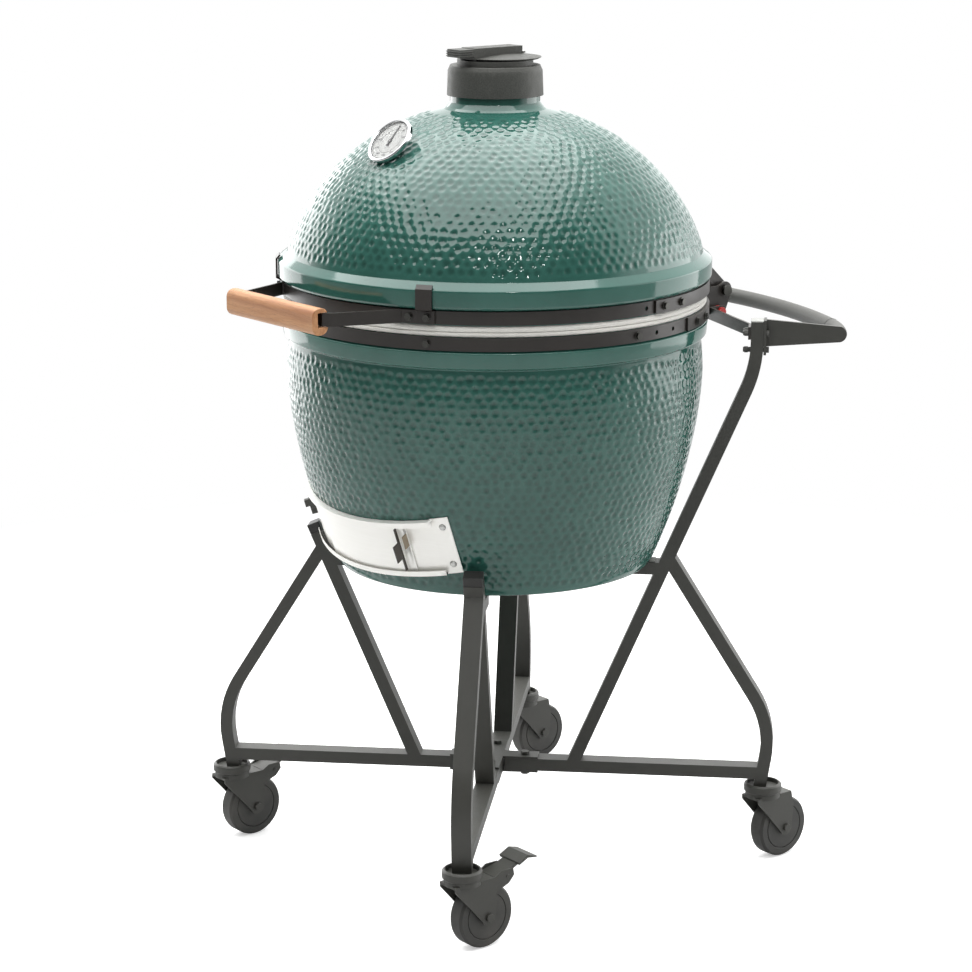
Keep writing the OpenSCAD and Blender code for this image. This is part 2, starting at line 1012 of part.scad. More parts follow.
handle_bolt_z = [post_top_z - 45, post_top_z - 17];
handle_bolt_v = [0, 10];

module handle_bolt_holes(r) {
    for (k = [0:1], s = [-1, 1])
        translate([post_top_u, handle_bolt_z[k], s * handle_bolt_v[k]])
            rotate([0, 90, 0])
                cylinder(r = r, h = 60, center = true, $fn = 32);
}

module leg_front_left() {
    leg(-45, front_post, false);
}

module leg_front_right() {
    leg(45, front_post, false);
}

module leg_rear_left() {
    leg(-135, rear_post, true);
}

module leg_rear_right() {
    leg(135, rear_post, true);
}

// Plug with a flange of height h, seated in the open end of a leg tube
module end_cap(tip, way, h) {
    angle = atan2(way[1], way[0]) - 90;
    translate([tip[0], tip[1], 0])
        rotate([0, 0, angle])
            rotate([-90, 0, 0])
                union() {
                    translate([-tube_w / 2, -tube_d / 2, gap])
                        cube([tube_w, tube_d, h]);
                    translate([-tube_w / 2 + tube_t + gap, -tube_d / 2 + tube_t + gap, -6])
                        cube([tube_w - 2 * tube_t - 2 * gap, tube_d - 2 * tube_t - 2 * gap, 7]);
                }
}

module leg_caps() {
    color("#8f8f88")
        about_egg()
            union() {
                for (az = [-135, 135])
                    in_leg_plane(az)
                        end_cap([post_top_u, post_top_z], [0, 1], 2.5);
                for (az = [-45, 45])
                    in_leg_plane(az)
                        end_cap(front_post[1], unit(front_post[1] - front_post[0]), 16);
            }
}

module cart_hub() {
    half = 72;
    color(powder)
        about_egg()
            difference() {
                union() {
                    rotate([0, 0, 45])
                        translate([-hub_half, -hub_half, bar_z - tube_w / 2 - 2])
                            cube([2 * hub_half, 2 * hub_half, tube_w + 4]);
                    for (s = [-1, 1], turn = [45, 135])
                        rotate([0, 0, turn])
                            translate([-half, -tube_d / 2, bar_z + s * (tube_w / 2 + gap + 1.5) - 1.5])
                                cube([2 * half, tube_d, 3]);
                }
                hub_bolt_places()
                    cylinder(r = 4.3, h = 60, center = true, $fn = 32);
            }
}

module hub_bolt_places() {
    for (az = [-135, -45, 45, 135])
        rotate([0, 0, az - 90])
            translate([50, 0, bar_z])
                children();
}

module hub_bolt() {
    reach = tube_w / 2 + gap + 3;
    cylinder(r = 4, h = 2 * reach + 8, center = true, $fn = 32);
    translate([0, 0, reach + gap])
        hex_head(7.2, 5);
    translate([0, 0, -reach - gap - 6])
        hex_head(7.2, 6);
}

// Pads between the cart's four stubs and the egg
module support_pads() {
    color("#b9b9b4")
        about_egg()
            for (az = [-135, -45, 45, 135])
                in_leg_plane(az)
                    linear_extrude(tube_d - 4, center = true)
                        block2d(stub_in + 3, pad_out, stub_z + tube_w / 2 + gap, base_bottom_z - gap);
}

flange_u = post_top_u + tube_w / 2 + gap;
arm_u = flange_u + 4;
arm_tip_r = 12.5;
arm_z = post_top_z - 18;
arm_root_h = 43;

module push_handle() {
    tip = arm_tip_u / sqrt(2);
    knot = [arc_big * sin(arc_split), tip + arc_drop - arc_big * (1 - cos(arc_split))];
    color(powder)
        about_egg()
            difference() {
                union() {
                    for (az = [-135, 135])
                        in_leg_plane(az)
                            union() {
                                linear_extrude(6, center = true)
                                    union() {
                                        polygon([
                                            [flange_u + 1, arm_z - arm_root_h / 2],
                                            [arm_tip_u, arm_z - arm_tip_r],
                                            [arm_tip_u, arm_z + arm_tip_r],
                                            [flange_u + 1, arm_z + arm_root_h / 2]
                                        ]);
                                        translate([arm_tip_u, arm_z])
                                            circle(r = arm_tip_r);
                                    }
                                translate([flange_u, arm_z - 33, -16])
                                    cube([4, 54.5, 32]);
                            }
                    translate([0, tip + arc_drop - arc_big, arm_z])
                        bent_bar(arc_big, 90 - arc_split, 90 + arc_split);
                    for (s = [-1, 1])
                        scale([s, 1, 1])
                            translate([
                                knot[0] - arc_small * sin(arc_split),
                                knot[1] - arc_small * cos(arc_split), arm_z
                            ])
                                bent_bar(arc_small, 45, 90 - arc_split);
                    // Weld beads where the arcs meet
                    for (s = [-1, 1])
                        translate([s * knot[0], knot[1], arm_z])
                            rotate([0, 90, -s * arc_split])
                                cylinder(r = push_bar_r + 0.4, h = 3, center = true);
                }
                for (az = [-135, 135])
                    in_leg_plane(az)
                        handle_bolt_holes(4.3);
            }
}

// Round bar bent to radius r, from angle a0 to a1
module bent_bar(r, a0, a1) {
    rotate([0, 0, a0])
        rotate_extrude(angle = a1 - a0, $fn = fine)
            translate([r, 0])
                circle(r = push_bar_r, $fn = 48);
}

// Bolt through the top of a rear leg, with its nut on the side of the egg
module leg_top_bolt() {
    inner = post_top_u - tube_w / 2 - gap - 4;
    translate([0, 0, inner - 8])
        cylinder(r = 4, h = arm_u - inner + 9, $fn = 32);
    translate([0, 0, arm_u + gap])
        hex_head(5.2, 4);
    translate([0, 0, inner - 6])
        hex_head(5.2, 5.6);
}

// Every bolt of the cart: four at the hub and three at the top of each rear leg
module cart_bolts() {
    color(powder)
        about_egg()
            union() {
                hub_bolt_places()
                    hub_bolt();
                for (az = [-135, 135], k = [0:1], s = k == 0 ? [1] : [-1, 1])
                    in_leg_plane(az)
                        translate([0, handle_bolt_z[k], s * handle_bolt_v[k]])
                            rotate([0, 90, 0])
                                leg_top_bolt();
            }
}

stay_h = 20;
stay_t = 4;
stay_x = lower_ear_x + ear_t / 2 + 5 + stay_t / 2;

module rear_stays() {
    face_u = post_top_u - tube_w / 2 - gap - stay_t / 2;
    s2 = 1 / sqrt(2);
    foot = [face_u, face_u] * s2;
    along = [-s2, s2];
    z_leg = handle_bolt_z[1];
    path = [foot - along * 15, foot + along * 17, [stay_x, stay_y - 22], [stay_x, stay_y + 10]];
    color(band_paint)
        about_egg()
            for (s = [-1, 1])
                scale([s, 1, 1])
                    difference() {
                        translate([0, 0, z_leg - stay_h / 2])
                            linear_extrude(stay_h)
                                strip(path, stay_t);
                        in_leg_plane(135)
                            handle_bolt_holes(4.3);
                        translate([stay_x, stay_y, stay_z])
                            rotate([0, 90, 0])
                                cylinder(r = 4.3, h = 20, center = true, $fn = 32);
                    }
}

// Flanged bushings that carry the stays on the lower hinge bracket
module stay_bushings() {
    x0 = lower_ear_x + ear_t / 2 + gap;
    color(red_nylon)
        about_egg()
            for (s = [-1, 1])
                scale([s, 1, 1])
                    translate([x0, stay_y, stay_z])
                        rotate([0, 90, 0])
                            union() {
                                cylinder(r = 10, h = 4.6);
                                translate([0, 0, -7])
                                    cylinder(r = 4, h = 20, $fn = 32);
                                translate([0, 0, 5 + stay_t + gap])
                                    cylinder(r = 8, h = 4, $fn = 32);
                            }
}

// ---------- casters ----------

caster_xy = caster_reach / sqrt(2);
cup_r = 30.5;
cup_z0 = 116;
cup_z1 = 131;
crown_z = 107;
king_r = 5;
fork_x = 17;
fork_t = 3;
pedal_y = 72;
pedal_z = 111;

module at_caster(sx, sy) {
    translate([sx * caster_xy, sy * caster_xy, 0])
        children();
}

// Bearing cup under a leg, with the king pin that the fork turns on
module caster_cup(sx, sy) {
    color(powder)
        about_egg()
            at_caster(sx, sy)
                union() {
                    rotate_extrude()
                        polygon([
                            [0, cup_z0], [cup_r - 2, cup_z0], [cup_r, cup_z0 + 2],
                            [cup_r, cup_z1 - 3], [cup_r - 3, cup_z1], [cup_r - 5, cup_z1],
                            [cup_r - 6, cup_z0 + 8], [0, cup_z0 + 8]
                        ]);
                    translate([0, 0, 98])
                        cylinder(r = king_r, h = cup_z0 - 97, $fn = 48);
                    translate([0, 0, 98])
                        hex_head(9, 5);
                }
}

module fork_plate2d(braked) {
    polygon([
        [-27, crown_z + 4], [-27, crown_z - 4], [trail - 12, wheel_r - 5],
        [trail + 12, wheel_r - 3], [52, 88], [braked ? 74 : 50, braked ? 96 : 92],
        [braked ? 84 : 46, crown_z + (braked ? 0 : 4)],
        [braked ? 82 : 46, crown_z + (braked ? 11 : 4)],
        [braked ? 60 : 46, crown_z + (braked ? 11 : 4)],
        [braked ? 48 : 46, crown_z + 4]
    ]);
    translate([trail, wheel_r])
        circle(r = 13);
}

module caster_fork(sx, sy, braked) {
    color(powder)
        about_egg()
            at_caster(sx, sy)
                difference() {
                    union() {
                        for (s = [-1, 1])
                            translate([s * (fork_x + fork_t / 2) - fork_t / 2, 0, 0])
                                rotate([90, 0, 90])
                                    linear_extrude(fork_t)
                                        fork_plate2d(braked);
                        translate([-fork_x - fork_t, -27, crown_z])
                            cube([2 * (fork_x + fork_t), 73, 4]);
                        tube_ring(28, 18, crown_z, cup_z0 - gap);
                    }
                    translate([0, 0, crown_z - 10])
                        cylinder(r = king_r + running, h = 30, $fn = 48);
                    fork_cross_hole(trail, wheel_r, axle_r + 0.2);
                    if (braked)
                        fork_cross_hole(pedal_y, pedal_z - 4, 3 + 0.2);
                }
}

module fork_cross_hole(y, z, r) {
    translate([0, y, z])
        rotate([0, 90, 0])
            cylinder(r = r, h = 80, center = true, $fn = 48);
}

module caster_axle(sx, sy) {
    half = fork_x + fork_t + gap;
    color(steel)
        about_egg()
            at_caster(sx, sy)
                translate([0, trail, wheel_r])
                    rotate([0, 90, 0])
                        union() {
                            cylinder(r = axle_r, h = 2 * half, center = true, $fn = 48);
                            translate([0, 0, half])
                                hex_head(7, 4);
                            translate([0, 0, -half - 4])
                                hex_head(7, 4);
                        }
}

module caster_wheel(sx, sy) {
    half = wheel_w / 2;
    color(powder)
        about_egg()
            at_caster(sx, sy)
                translate([0, trail, wheel_r])
                    rotate([0, 90, 0])
                        rotate_extrude()
                            polygon([
                                [axle_r + running, -half - 1], [12, -half - 1], [14, -half],
                                [35, -half], [35.6, -half + 1.5], [36.4, -half + 1.5], [37, -half],
                                [wheel_r - 3, -half], [wheel_r, -half + 4], [wheel_r, half - 4],
                                [wheel_r - 3, half], [37, half], [36.4, half - 1.5],
                                [35.6, half - 1.5], [35, half], [14, half], [12, half + 1],
                                [axle_r + running, half + 1]
                            ]);
}

// Foot lever that presses its shoe on the tread, with its own rivet
module brake_pedal(sx, sy) {
    color(powder)
        about_egg()
            at_caster(sx, sy)
                union() {
                    rotate([90, 0, 90])
                        linear_extrude(2 * fork_x - 1, center = true)
                            polygon([
                                [47, crown_z + 1], [66, crown_z - 5], [78, crown_z - 5],
                                [84, crown_z + 8], [108, crown_z + 19], [106, crown_z + 22],
                                [82, crown_z + 12], [62, crown_z + 7], [47, crown_z + 4]
                            ]);
                    translate([-24, 0, 0])
                        rotate([90, 0, 90])
                            linear_extrude(48)
                                polygon([
                                    [91, crown_z + 14], [108, crown_z + 22], [125, crown_z + 19.5],
                                    [125, crown_z + 22], [108, crown_z + 26.5], [90, crown_z + 18]
                                ]);
                    fork_rivet();
                }
}

module fork_rivet() {
    translate([0, pedal_y, pedal_z - 4])
        rotate([0, 90, 0])
            cylinder(r = 3 + 0.2 - running, h = 2 * (fork_x + fork_t) + 2, center = true, $fn = 48);
}

module caster_cup_front_left() {
    caster_cup(-1, -1);
}

module caster_cup_front_right() {
    caster_cup(1, -1);
}

module caster_cup_rear_left() {
    caster_cup(-1, 1);
}

module caster_cup_rear_right() {
    caster_cup(1, 1);
}

module caster_fork_front_left() {
    caster_fork(-1, -1, true);
}

module caster_fork_front_right() {
    caster_fork(1, -1, true);
}

module caster_fork_rear_left() {
    caster_fork(-1, 1, false);
}

module caster_fork_rear_right() {
    caster_fork(1, 1, false);
}

module caster_axle_front_left() {
    caster_axle(-1, -1);
}

module caster_axle_front_right() {
    caster_axle(1, -1);
}

module caster_axle_rear_left() {
    caster_axle(-1, 1);
}

module caster_axle_rear_right() {
    caster_axle(1, 1);
}

module caster_wheel_front_left() {
    caster_wheel(-1, -1);
}

module caster_wheel_front_right() {
    caster_wheel(1, -1);
}

module caster_wheel_rear_left() {
    caster_wheel(-1, 1);
}

module caster_wheel_rear_right() {
    caster_wheel(1, 1);
}

module brake_pedal_front_left() {
    brake_pedal(-1, -1);
}

module brake_pedal_front_right() {
    brake_pedal(1, -1);
}

// ---------- the parts ----------

base_shell();
base_gasket();
lower_band();
lower_band_bolts();
hinge_lower_bracket();
hinge_pin();
hinge_springs();
fire_box();
fire_ring();
fire_grate();
cooking_grid();
draft_frame();
draft_frame_screws();
draft_stop();
draft_door();
draft_screen();
dome_shell();
dome_gasket();
upper_band();
upper_band_bolts();
hinge_upper_bracket();
handle_bracket();
handle_grip();
handle_screws();
vent_collar();
vent_pivot_pin();
vent_disc();
thermometer_case();
thermometer_dial();
thermometer_lens();
thermometer_needle();
leg_front_left();
leg_front_right();
leg_rear_left();
leg_rear_right();
leg_caps();
cart_hub();
cart_bolts();
support_pads();
push_handle();
rear_stays();
stay_bushings();
caster_cup_front_left();
caster_fork_front_left();
caster_axle_front_left();
caster_wheel_front_left();
brake_pedal_front_left();
caster_cup_front_right();
caster_fork_front_right();
caster_axle_front_right();
caster_wheel_front_right();
brake_pedal_front_right();
caster_cup_rear_left();
caster_fork_rear_left();
caster_axle_rear_left();
caster_wheel_rear_left();
caster_cup_rear_right();
caster_fork_rear_right();
caster_axle_rear_right();
caster_wheel_rear_right();
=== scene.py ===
"""Looks of a kamado ceramic grill on a four-wheel cart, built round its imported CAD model."""

import json
import math

import bmesh
import bpy
import numpy as np
from mathutils import Matrix, Vector


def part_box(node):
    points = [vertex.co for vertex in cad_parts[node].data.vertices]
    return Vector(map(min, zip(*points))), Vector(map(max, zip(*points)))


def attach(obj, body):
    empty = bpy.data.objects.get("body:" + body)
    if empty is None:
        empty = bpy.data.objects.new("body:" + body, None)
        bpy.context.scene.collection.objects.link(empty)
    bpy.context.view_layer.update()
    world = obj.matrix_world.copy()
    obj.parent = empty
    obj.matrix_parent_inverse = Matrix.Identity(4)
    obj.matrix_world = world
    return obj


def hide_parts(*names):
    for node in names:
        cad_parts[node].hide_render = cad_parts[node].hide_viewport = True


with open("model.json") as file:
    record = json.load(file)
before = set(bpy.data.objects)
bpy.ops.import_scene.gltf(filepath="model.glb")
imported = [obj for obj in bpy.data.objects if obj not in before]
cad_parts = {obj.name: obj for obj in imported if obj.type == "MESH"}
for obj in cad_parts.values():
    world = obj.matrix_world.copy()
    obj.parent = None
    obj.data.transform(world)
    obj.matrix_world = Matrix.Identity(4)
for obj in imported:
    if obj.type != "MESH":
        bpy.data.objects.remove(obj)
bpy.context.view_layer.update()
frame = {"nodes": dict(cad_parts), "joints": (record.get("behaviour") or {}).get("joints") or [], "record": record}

MM = 0.001
SEED = 7
rng = np.random.default_rng(SEED)

body_of = {
    node: body
    for body, members in frame["record"]["behaviour"]["bodies"].items()
    for node in members
}
slot_of = {s["node"]: s["material_slot"] for s in frame["record"]["subparts"]}
dome_low, dome_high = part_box("dome_shell")
EGG_Y = (dome_low.y + dome_high.y) / 2 / MM
SPLIT_Z = (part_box("base_shell")[1].z + dome_low.z) / 2 / MM
FLANGE_R = dome_high.x / MM


# ---------------------------------------------------------------- materials

class Paint:
    """A node tree that is built from short calls. Every texture runs on object coordinates in metres."""

    def __init__(self, name):
        self.material = bpy.data.materials.new(name)
        self.material.use_nodes = True
        self.nodes = self.material.node_tree.nodes
        self.links = self.material.node_tree.links
        self.nodes.clear()
        self.out = self.nodes.new("ShaderNodeOutputMaterial")
        self.bsdf = self.nodes.new("ShaderNodeBsdfPrincipled")
        self.links.new(self.bsdf.outputs[0], self.out.inputs["Surface"])
        self.coords = self.nodes.new("ShaderNodeTexCoord").outputs["Object"]

    def put(self, socket, value):
        if hasattr(value, "is_linked"):
            self.links.new(value, socket)
        elif isinstance(value, tuple) and len(value) == 3 and len(socket.default_value) == 4:
            socket.default_value = (*value, 1.0)
        else:
            socket.default_value = value

    def set(self, **values):
        for key, value in values.items():
            self.put(self.bsdf.inputs[key.replace("_", " ")], value)
        return self

    def stretch(self, scale, turn=(0.0, 0.0, 0.0)):
        """Object coordinates, turned and then scaled along each axis."""
        node = self.nodes.new("ShaderNodeMapping")
        node.inputs["Rotation"].default_value = turn
        node.inputs["Scale"].default_value = scale
        self.links.new(self.coords, node.inputs["Vector"])
        return node.outputs[0]

    def noise(self, scale, detail=3.0, rough=0.55, vector=None, distortion=0.0):
        node = self.nodes.new("ShaderNodeTexNoise")
        node.inputs["Scale"].default_value = scale
        node.inputs["Detail"].default_value = detail
        node.inputs["Roughness"].default_value = rough
        node.inputs["Distortion"].default_value = distortion
        self.links.new(vector or self.coords, node.inputs["Vector"])
        return node.outputs["Fac"]

    def cells(self, scale, feature="F1", vector=None):
        node = self.nodes.new("ShaderNodeTexVoronoi")
        node.feature = feature
        node.inputs["Scale"].default_value = scale
        self.links.new(vector or self.coords, node.inputs["Vector"])
        return node.outputs["Distance"]

    def ramp(self, fac, stops):
        """Colours or greys over a factor: stops is a list of (position, colour)."""
        node = self.nodes.new("ShaderNodeValToRGB")
        elements = node.color_ramp.elements
        while len(elements) < len(stops):
            elements.new(0.5)
        for element, (place, colour) in zip(elements, stops):
            element.position = place
            element.color = (*colour, 1.0) if isinstance(colour, tuple) else (colour, colour, colour, 1.0)
        self.links.new(fac, node.inputs[0])
        return node.outputs[0]

    def mix(self, fac, a, b, mode="MIX"):
        node = self.nodes.new("ShaderNodeMix")
        node.data_type = "RGBA"
        node.blend_type = mode
        self.put(node.inputs[0], fac)
        self.put(node.inputs[6], a)
        self.put(node.inputs[7], b)
        return node.outputs[2]

    def math(self, kind, a, b=0.0):
        node = self.nodes.new("ShaderNodeMath")
        node.operation = kind
        self.put(node.inputs[0], a)
        self.put(node.inputs[1], b)
        return node.outputs[0]

    def attribute(self, name):
        node = self.nodes.new("ShaderNodeAttribute")
        node.attribute_name = name
        return node.outputs["Fac"]

    def normal_z(self):
        """Upward part of the surface normal, for the painted light that makes top faces paler."""
        geometry = self.nodes.new("ShaderNodeNewGeometry")
        split = self.nodes.new("ShaderNodeSeparateXYZ")
        self.links.new(geometry.outputs["Normal"], split.inputs[0])
        return split.outputs["Z"]

    def bump(self, height, strength, distance=0.001):
        node = self.nodes.new("ShaderNodeBump")
        node.inputs["Strength"].default_value = strength
        node.inputs["Distance"].default_value = distance
        self.links.new(height, node.inputs["Height"])
        previous = self.bsdf.inputs["Normal"]
        if previous.is_linked:
            self.links.new(previous.links[0].from_socket, node.inputs["Normal"])
        self.links.new(node.outputs[0], previous)
        return self


def srgb(r, g, b):
    """Linear colour from eight-bit sRGB values."""
    return tuple(
        v / 12.92 if v <= 0.04045 else ((v + 0.055) / 1.055) ** 2.4
        for v in (r / 255, g / 255, b / 255)
    )


def glaze_material():
    """Deep green glass over ceramic, darker where it pools and thinner on the ridges."""
    p = Paint("glaze")
    pool = p.attribute("pool")
    cloud = p.noise(9.0, 4.0)
    base = p.ramp(cloud, [(0.3, srgb(44, 87, 78)), (0.7, srgb(52, 98, 88))])
    pooled = p.mix(p.math("MULTIPLY", pool, 0.7), base, srgb(26, 58, 51))
    speck = p.ramp(p.noise(420.0, 2.0), [(0.68, 0.0), (0.74, 1.0)])
    colour = p.mix(p.math("MULTIPLY", speck, 0.2), pooled, srgb(96, 132, 122))
    p.set(Base_Color=colour, Roughness=p.ramp(p.noise(60.0), [(0.3, 0.06), (0.7, 0.11)]), IOR=1.55)
    p.bump(p.noise(160.0, 2.0), 0.10, 0.0006)
    return p.material


def clay_material():
    p = Paint("clay")
    grain = p.noise(230.0, 5.0, 0.7)
    patches = p.noise(14.0, 4.0)
    colour = p.mix(
        p.math("MULTIPLY", patches, 0.8),
        p.ramp(grain, [(0.3, srgb(170, 150, 124)), (0.7, srgb(206, 188, 160))]),
        srgb(150, 128, 104),
    )
    p.set(Base_Color=colour, Roughness=0.85)
    p.bump(grain, 0.5, 0.0008)
    p.bump(p.cells(320.0), 0.25, 0.0006)
    return p.material


def felt_material():
    p = Paint("felt")
    fibres = p.noise(900.0, 6.0, 0.8, distortion=1.5)
    clumps = p.noise(140.0, 4.0)
    colour = p.mix(
        clumps,
        p.ramp(fibres, [(0.35, srgb(196, 194, 187)), (0.65, srgb(248, 247, 242))]),
        srgb(226, 224, 217),
    )
    p.set(Base_Color=colour, Roughness=0.95, Sheen_Weight=0.5, Sheen_Roughness=0.4)
    p.bump(fibres, 0.9, 0.0008)
    return p.material


def coated_metal(name, low, high, rough, grain, strength, dust_and_top_light=None):
    """Baked powder paint with a fine orange-peel grain, and top faces painted slightly paler as painted light from
    above.
    """
    p = Paint(name)
    peel = p.noise(grain, 3.0, 0.6)
    wear = p.noise(24.0, 5.0, 0.65)
    colour = p.mix(wear, low, high)
    if dust_and_top_light:
        # painted light: top faces are mixed towards the last, paler colour, as if lit from above
        top = p.ramp(p.normal_z(), [(0.55, 0.0), (0.98, 1.0)])
        colour = p.mix(p.math("MULTIPLY", top, 0.6), colour, dust_and_top_light)
    p.set(Base_Color=colour, Roughness=p.ramp(wear, [(0.2, rough - 0.05), (0.8, rough + 0.07)]))
    p.bump(peel, strength, 0.0004)
    return p.material


def cast_iron_material():
    p = Paint("cast_iron")
    sand = p.noise(520.0, 6.0, 0.7)
    lumps = p.noise(70.0, 3.0)
    colour = p.ramp(sand, [(0.3, srgb(52, 53, 50)), (0.7, srgb(78, 79, 75))])
    colour = p.mix(p.math("MULTIPLY", lumps, 0.4), colour, srgb(90, 90, 86))
    p.set(Base_Color=colour, Roughness=p.ramp(lumps, [(0.3, 0.5), (0.7, 0.64)]), Metallic=0.25)
    p.bump(sand, 0.45, 0.0006)
    p.bump(lumps, 0.15, 0.001)
    return p.material


def brushed_material(name, low, high, rough, along):
    """Bare steel whose fine scratches run along one direction; along squeezes the noise's axes."""
    p = Paint(name)
    lines = p.noise(1.0, 4.0, 0.7, vector=p.stretch(along))
    stain = p.noise(18.0, 4.0)
    p.set(
        Base_Color=p.mix(lines, low, high),
        Metallic=1.0,
        Roughness=p.math("ADD", p.math("MULTIPLY", stain, 0.12), rough),
        Anisotropic=0.4,
    )
    p.bump(lines, 0.12, 0.0002)
    return p.material


def bright_sheet_material():
    """Satin stainless sheet that throws most of the studio's light back; its near-white colour is painted light,
    standing in for the bright studio reflected in it.
    """
    p = Paint("bright_sheet")
    lines = p.noise(1.0, 4.0, 0.7, vector=p.stretch((12.0, 60.0, 700.0)))
    stain = p.noise(14.0, 4.0)
    p.set(
        # painted reflection: a near-white base colour for the bright studio light on the sheet
        Base_Color=p.mix(lines, srgb(242, 241, 235), srgb(254, 253, 249)),
        Metallic=0.3,
        Roughness=p.math("ADD", p.math("MULTIPLY", stain, 0.08), 0.27),
    )
    p.bump(lines, 0.03, 0.0002)
    return p.material


def chrome_material():
    p = Paint("chrome")
    haze = p.noise(80.0, 4.0)
    p.set(
        Base_Color=p.mix(haze, srgb(205, 207, 208), srgb(236, 237, 238)),
        Metallic=1.0,
        Roughness=p.ramp(haze, [(0.3, 0.06), (0.7, 0.14)]),
    )
    p.bump(p.noise(700.0, 2.0), 0.03, 0.0002)
    return p.material


def wood_material():
    """Oiled timber: growth rings stretched along X, with fibres and darker pores."""
    p = Paint("wood")
    warp = p.stretch((5.0, 95.0, 70.0), (0.0, 0.14, 0.06))
    rings = p.noise(1.0, 3.0, 0.5, vector=warp, distortion=1.3)
    fibre = p.noise(1.0, 4.0, 0.7, vector=p.stretch((28.0, 900.0, 900.0)))
    pores = p.ramp(
        p.noise(1.0, 2.0, 0.6, vector=p.stretch((90.0, 1500.0, 1500.0))), [(0.60, 0.0), (0.68, 1.0)]
    )
    colour = p.ramp(
        rings,
        [(0.30, srgb(158, 104, 66)), (0.48, srgb(188, 136, 92)), (0.60, srgb(202, 152, 108)),
         (0.72, srgb(168, 114, 72))],
    )
    colour = p.mix(p.math("MULTIPLY", fibre, 0.35), colour, srgb(150, 98, 60))
    colour = p.mix(p.math("MULTIPLY", pores, 0.55), colour, srgb(98, 60, 36))
    p.set(Base_Color=colour, Roughness=p.ramp(fibre, [(0.3, 0.42), (0.7, 0.6)]), Coat_Weight=0.08)
    p.bump(fibre, 0.25, 0.0004)
    p.bump(pores, 0.2, 0.0003)
    return p.material


def plastic_material(name, low, high, rough, strength=0.15):
    p = Paint(name)
    tone = p.noise(35.0, 4.0)
    p.set(Base_Color=p.mix(tone, low, high), Roughness=p.math("ADD", p.math("MULTIPLY", tone, 0.1), rough))
    p.bump(p.noise(900.0, 3.0), strength, 0.0003)
    return p.material


def cap_material():
    """Moulded plugs of the leg tubes: black at the front of the cart, grey at the back."""
    p = Paint("leg_caps")
    split = p.nodes.new("ShaderNodeSeparateXYZ")
    p.links.new(p.coords, split.inputs[0])
    behind = p.math("GREATER_THAN", split.outputs["Y"], 0.0)
    tone = p.noise(35.0, 4.0)
    black = p.mix(tone, srgb(30, 29, 28), srgb(42, 41, 39))
    p.set(Base_Color=p.mix(behind, black, p.mix(tone, srgb(150, 151, 147), srgb(176, 177, 172))))
    p.set(Roughness=p.math("ADD", p.math("MULTIPLY", tone, 0.1), 0.42))
    p.bump(p.noise(900.0, 3.0), 0.15, 0.0003)
    return p.material


def rubber_material():
    p = Paint("wheel_rubber")
    scuff = p.noise(70.0, 6.0, 0.7)
    dust_and_top_light = p.ramp(p.noise(12.0, 4.0), [(0.45, 0.0), (0.8, 1.0)])
    colour = p.mix(p.math("MULTIPLY", dust_and_top_light, 0.5), p.mix(scuff, srgb(44, 44, 42), srgb(60, 60, 57)), srgb(96, 93, 87))
    p.set(Base_Color=colour, Roughness=p.ramp(scuff, [(0.3, 0.45), (0.7, 0.62)]))
    p.bump(scuff, 0.2, 0.0004)
    return p.material


def dial_material():
    p = Paint("dial")
    tone = p.noise(55.0, 4.0)
    p.set(Base_Color=p.mix(tone, srgb(186, 187, 185), srgb(204, 205, 202)), Roughness=0.5)
    p.bump(p.noise(1500.0, 2.0), 0.06, 0.0002)
    return p.material


def glass_material():
    p = Paint("glass")
    smear = p.noise(40.0, 4.0)
    p.set(
        Base_Color=(1.0, 1.0, 1.0),
        Roughness=p.ramp(smear, [(0.4, 0.0), (0.9, 0.06)]),
        Transmission_Weight=1.0,
        IOR=1.2,
    )
    return p.material


looks = {
    "glaze": glaze_material(),
    "clay": clay_material(),
    "felt": felt_material(),
    # the last colour of band_paint and of powder_coat is their painted light on top faces
    "band_paint": coated_metal(
        "band_paint", srgb(31, 28, 26), srgb(46, 42, 38), 0.34, 1400.0, 0.18, srgb(78, 74, 69)),
    "powder_coat": coated_metal(
        "powder_coat", srgb(52, 52, 48), srgb(66, 66, 61), 0.46, 1700.0, 0.3, srgb(86, 86, 81)),
    "cast_iron": cast_iron_material(),
    "stainless": brushed_material(
        "stainless", srgb(214, 213, 208), srgb(246, 245, 242), 0.24, (30.0, 30.0, 2600.0)),
    "steel": brushed_material("steel", srgb(150, 150, 148), srgb(205, 205, 202), 0.26, (500.0, 2500.0, 2500.0)),
    "chrome": chrome_material(),
    "wood": wood_material(),
    "dial": dial_material(),
    "needle": plastic_material("needle", srgb(26, 26, 28), srgb(40, 40, 42), 0.3),
    "glass": glass_material(),
    "grey_plastic": plastic_material("grey_plastic", srgb(140, 141, 137), srgb(165, 166, 161), 0.5),
    "red_plastic": plastic_material("red_plastic", srgb(150, 26, 26), srgb(186, 36, 34), 0.35),
    "wheel_rubber": rubber_material(),
}


# ---------------------------------------------------------------- mesh helpers

def finish_piece(piece, node, body=None, stands_for=True):
    """Puts a piece on its body, and hides the CAD node that it stands for."""
    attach(piece, body or body_of[node])
    if stands_for:
        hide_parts(node)
    return piece


def new_object(name, verts, faces, materials, smooth_angle=40.0):
    mesh = bpy.data.meshes.new(name)
    mesh.from_pydata([tuple(v) for v in verts], [], [tuple(f) for f in faces])
    mesh.validate()
    for material in materials:
        mesh.materials.append(material)
    mesh.shade_smooth()
    mesh.set_sharp_from_angle(angle=math.radians(smooth_angle))
    piece = bpy.data.objects.new(name, mesh)
    bpy.context.scene.collection.objects.link(piece)
    return piece


def applied(piece):
    """Replaces a piece's mesh by the result of its modifiers."""
    graph = bpy.context.evaluated_depsgraph_get()
    mesh = bpy.data.meshes.new_from_object(piece.evaluated_get(graph), depsgraph=graph)
    piece.modifiers.clear()
    piece.data = mesh
    return piece


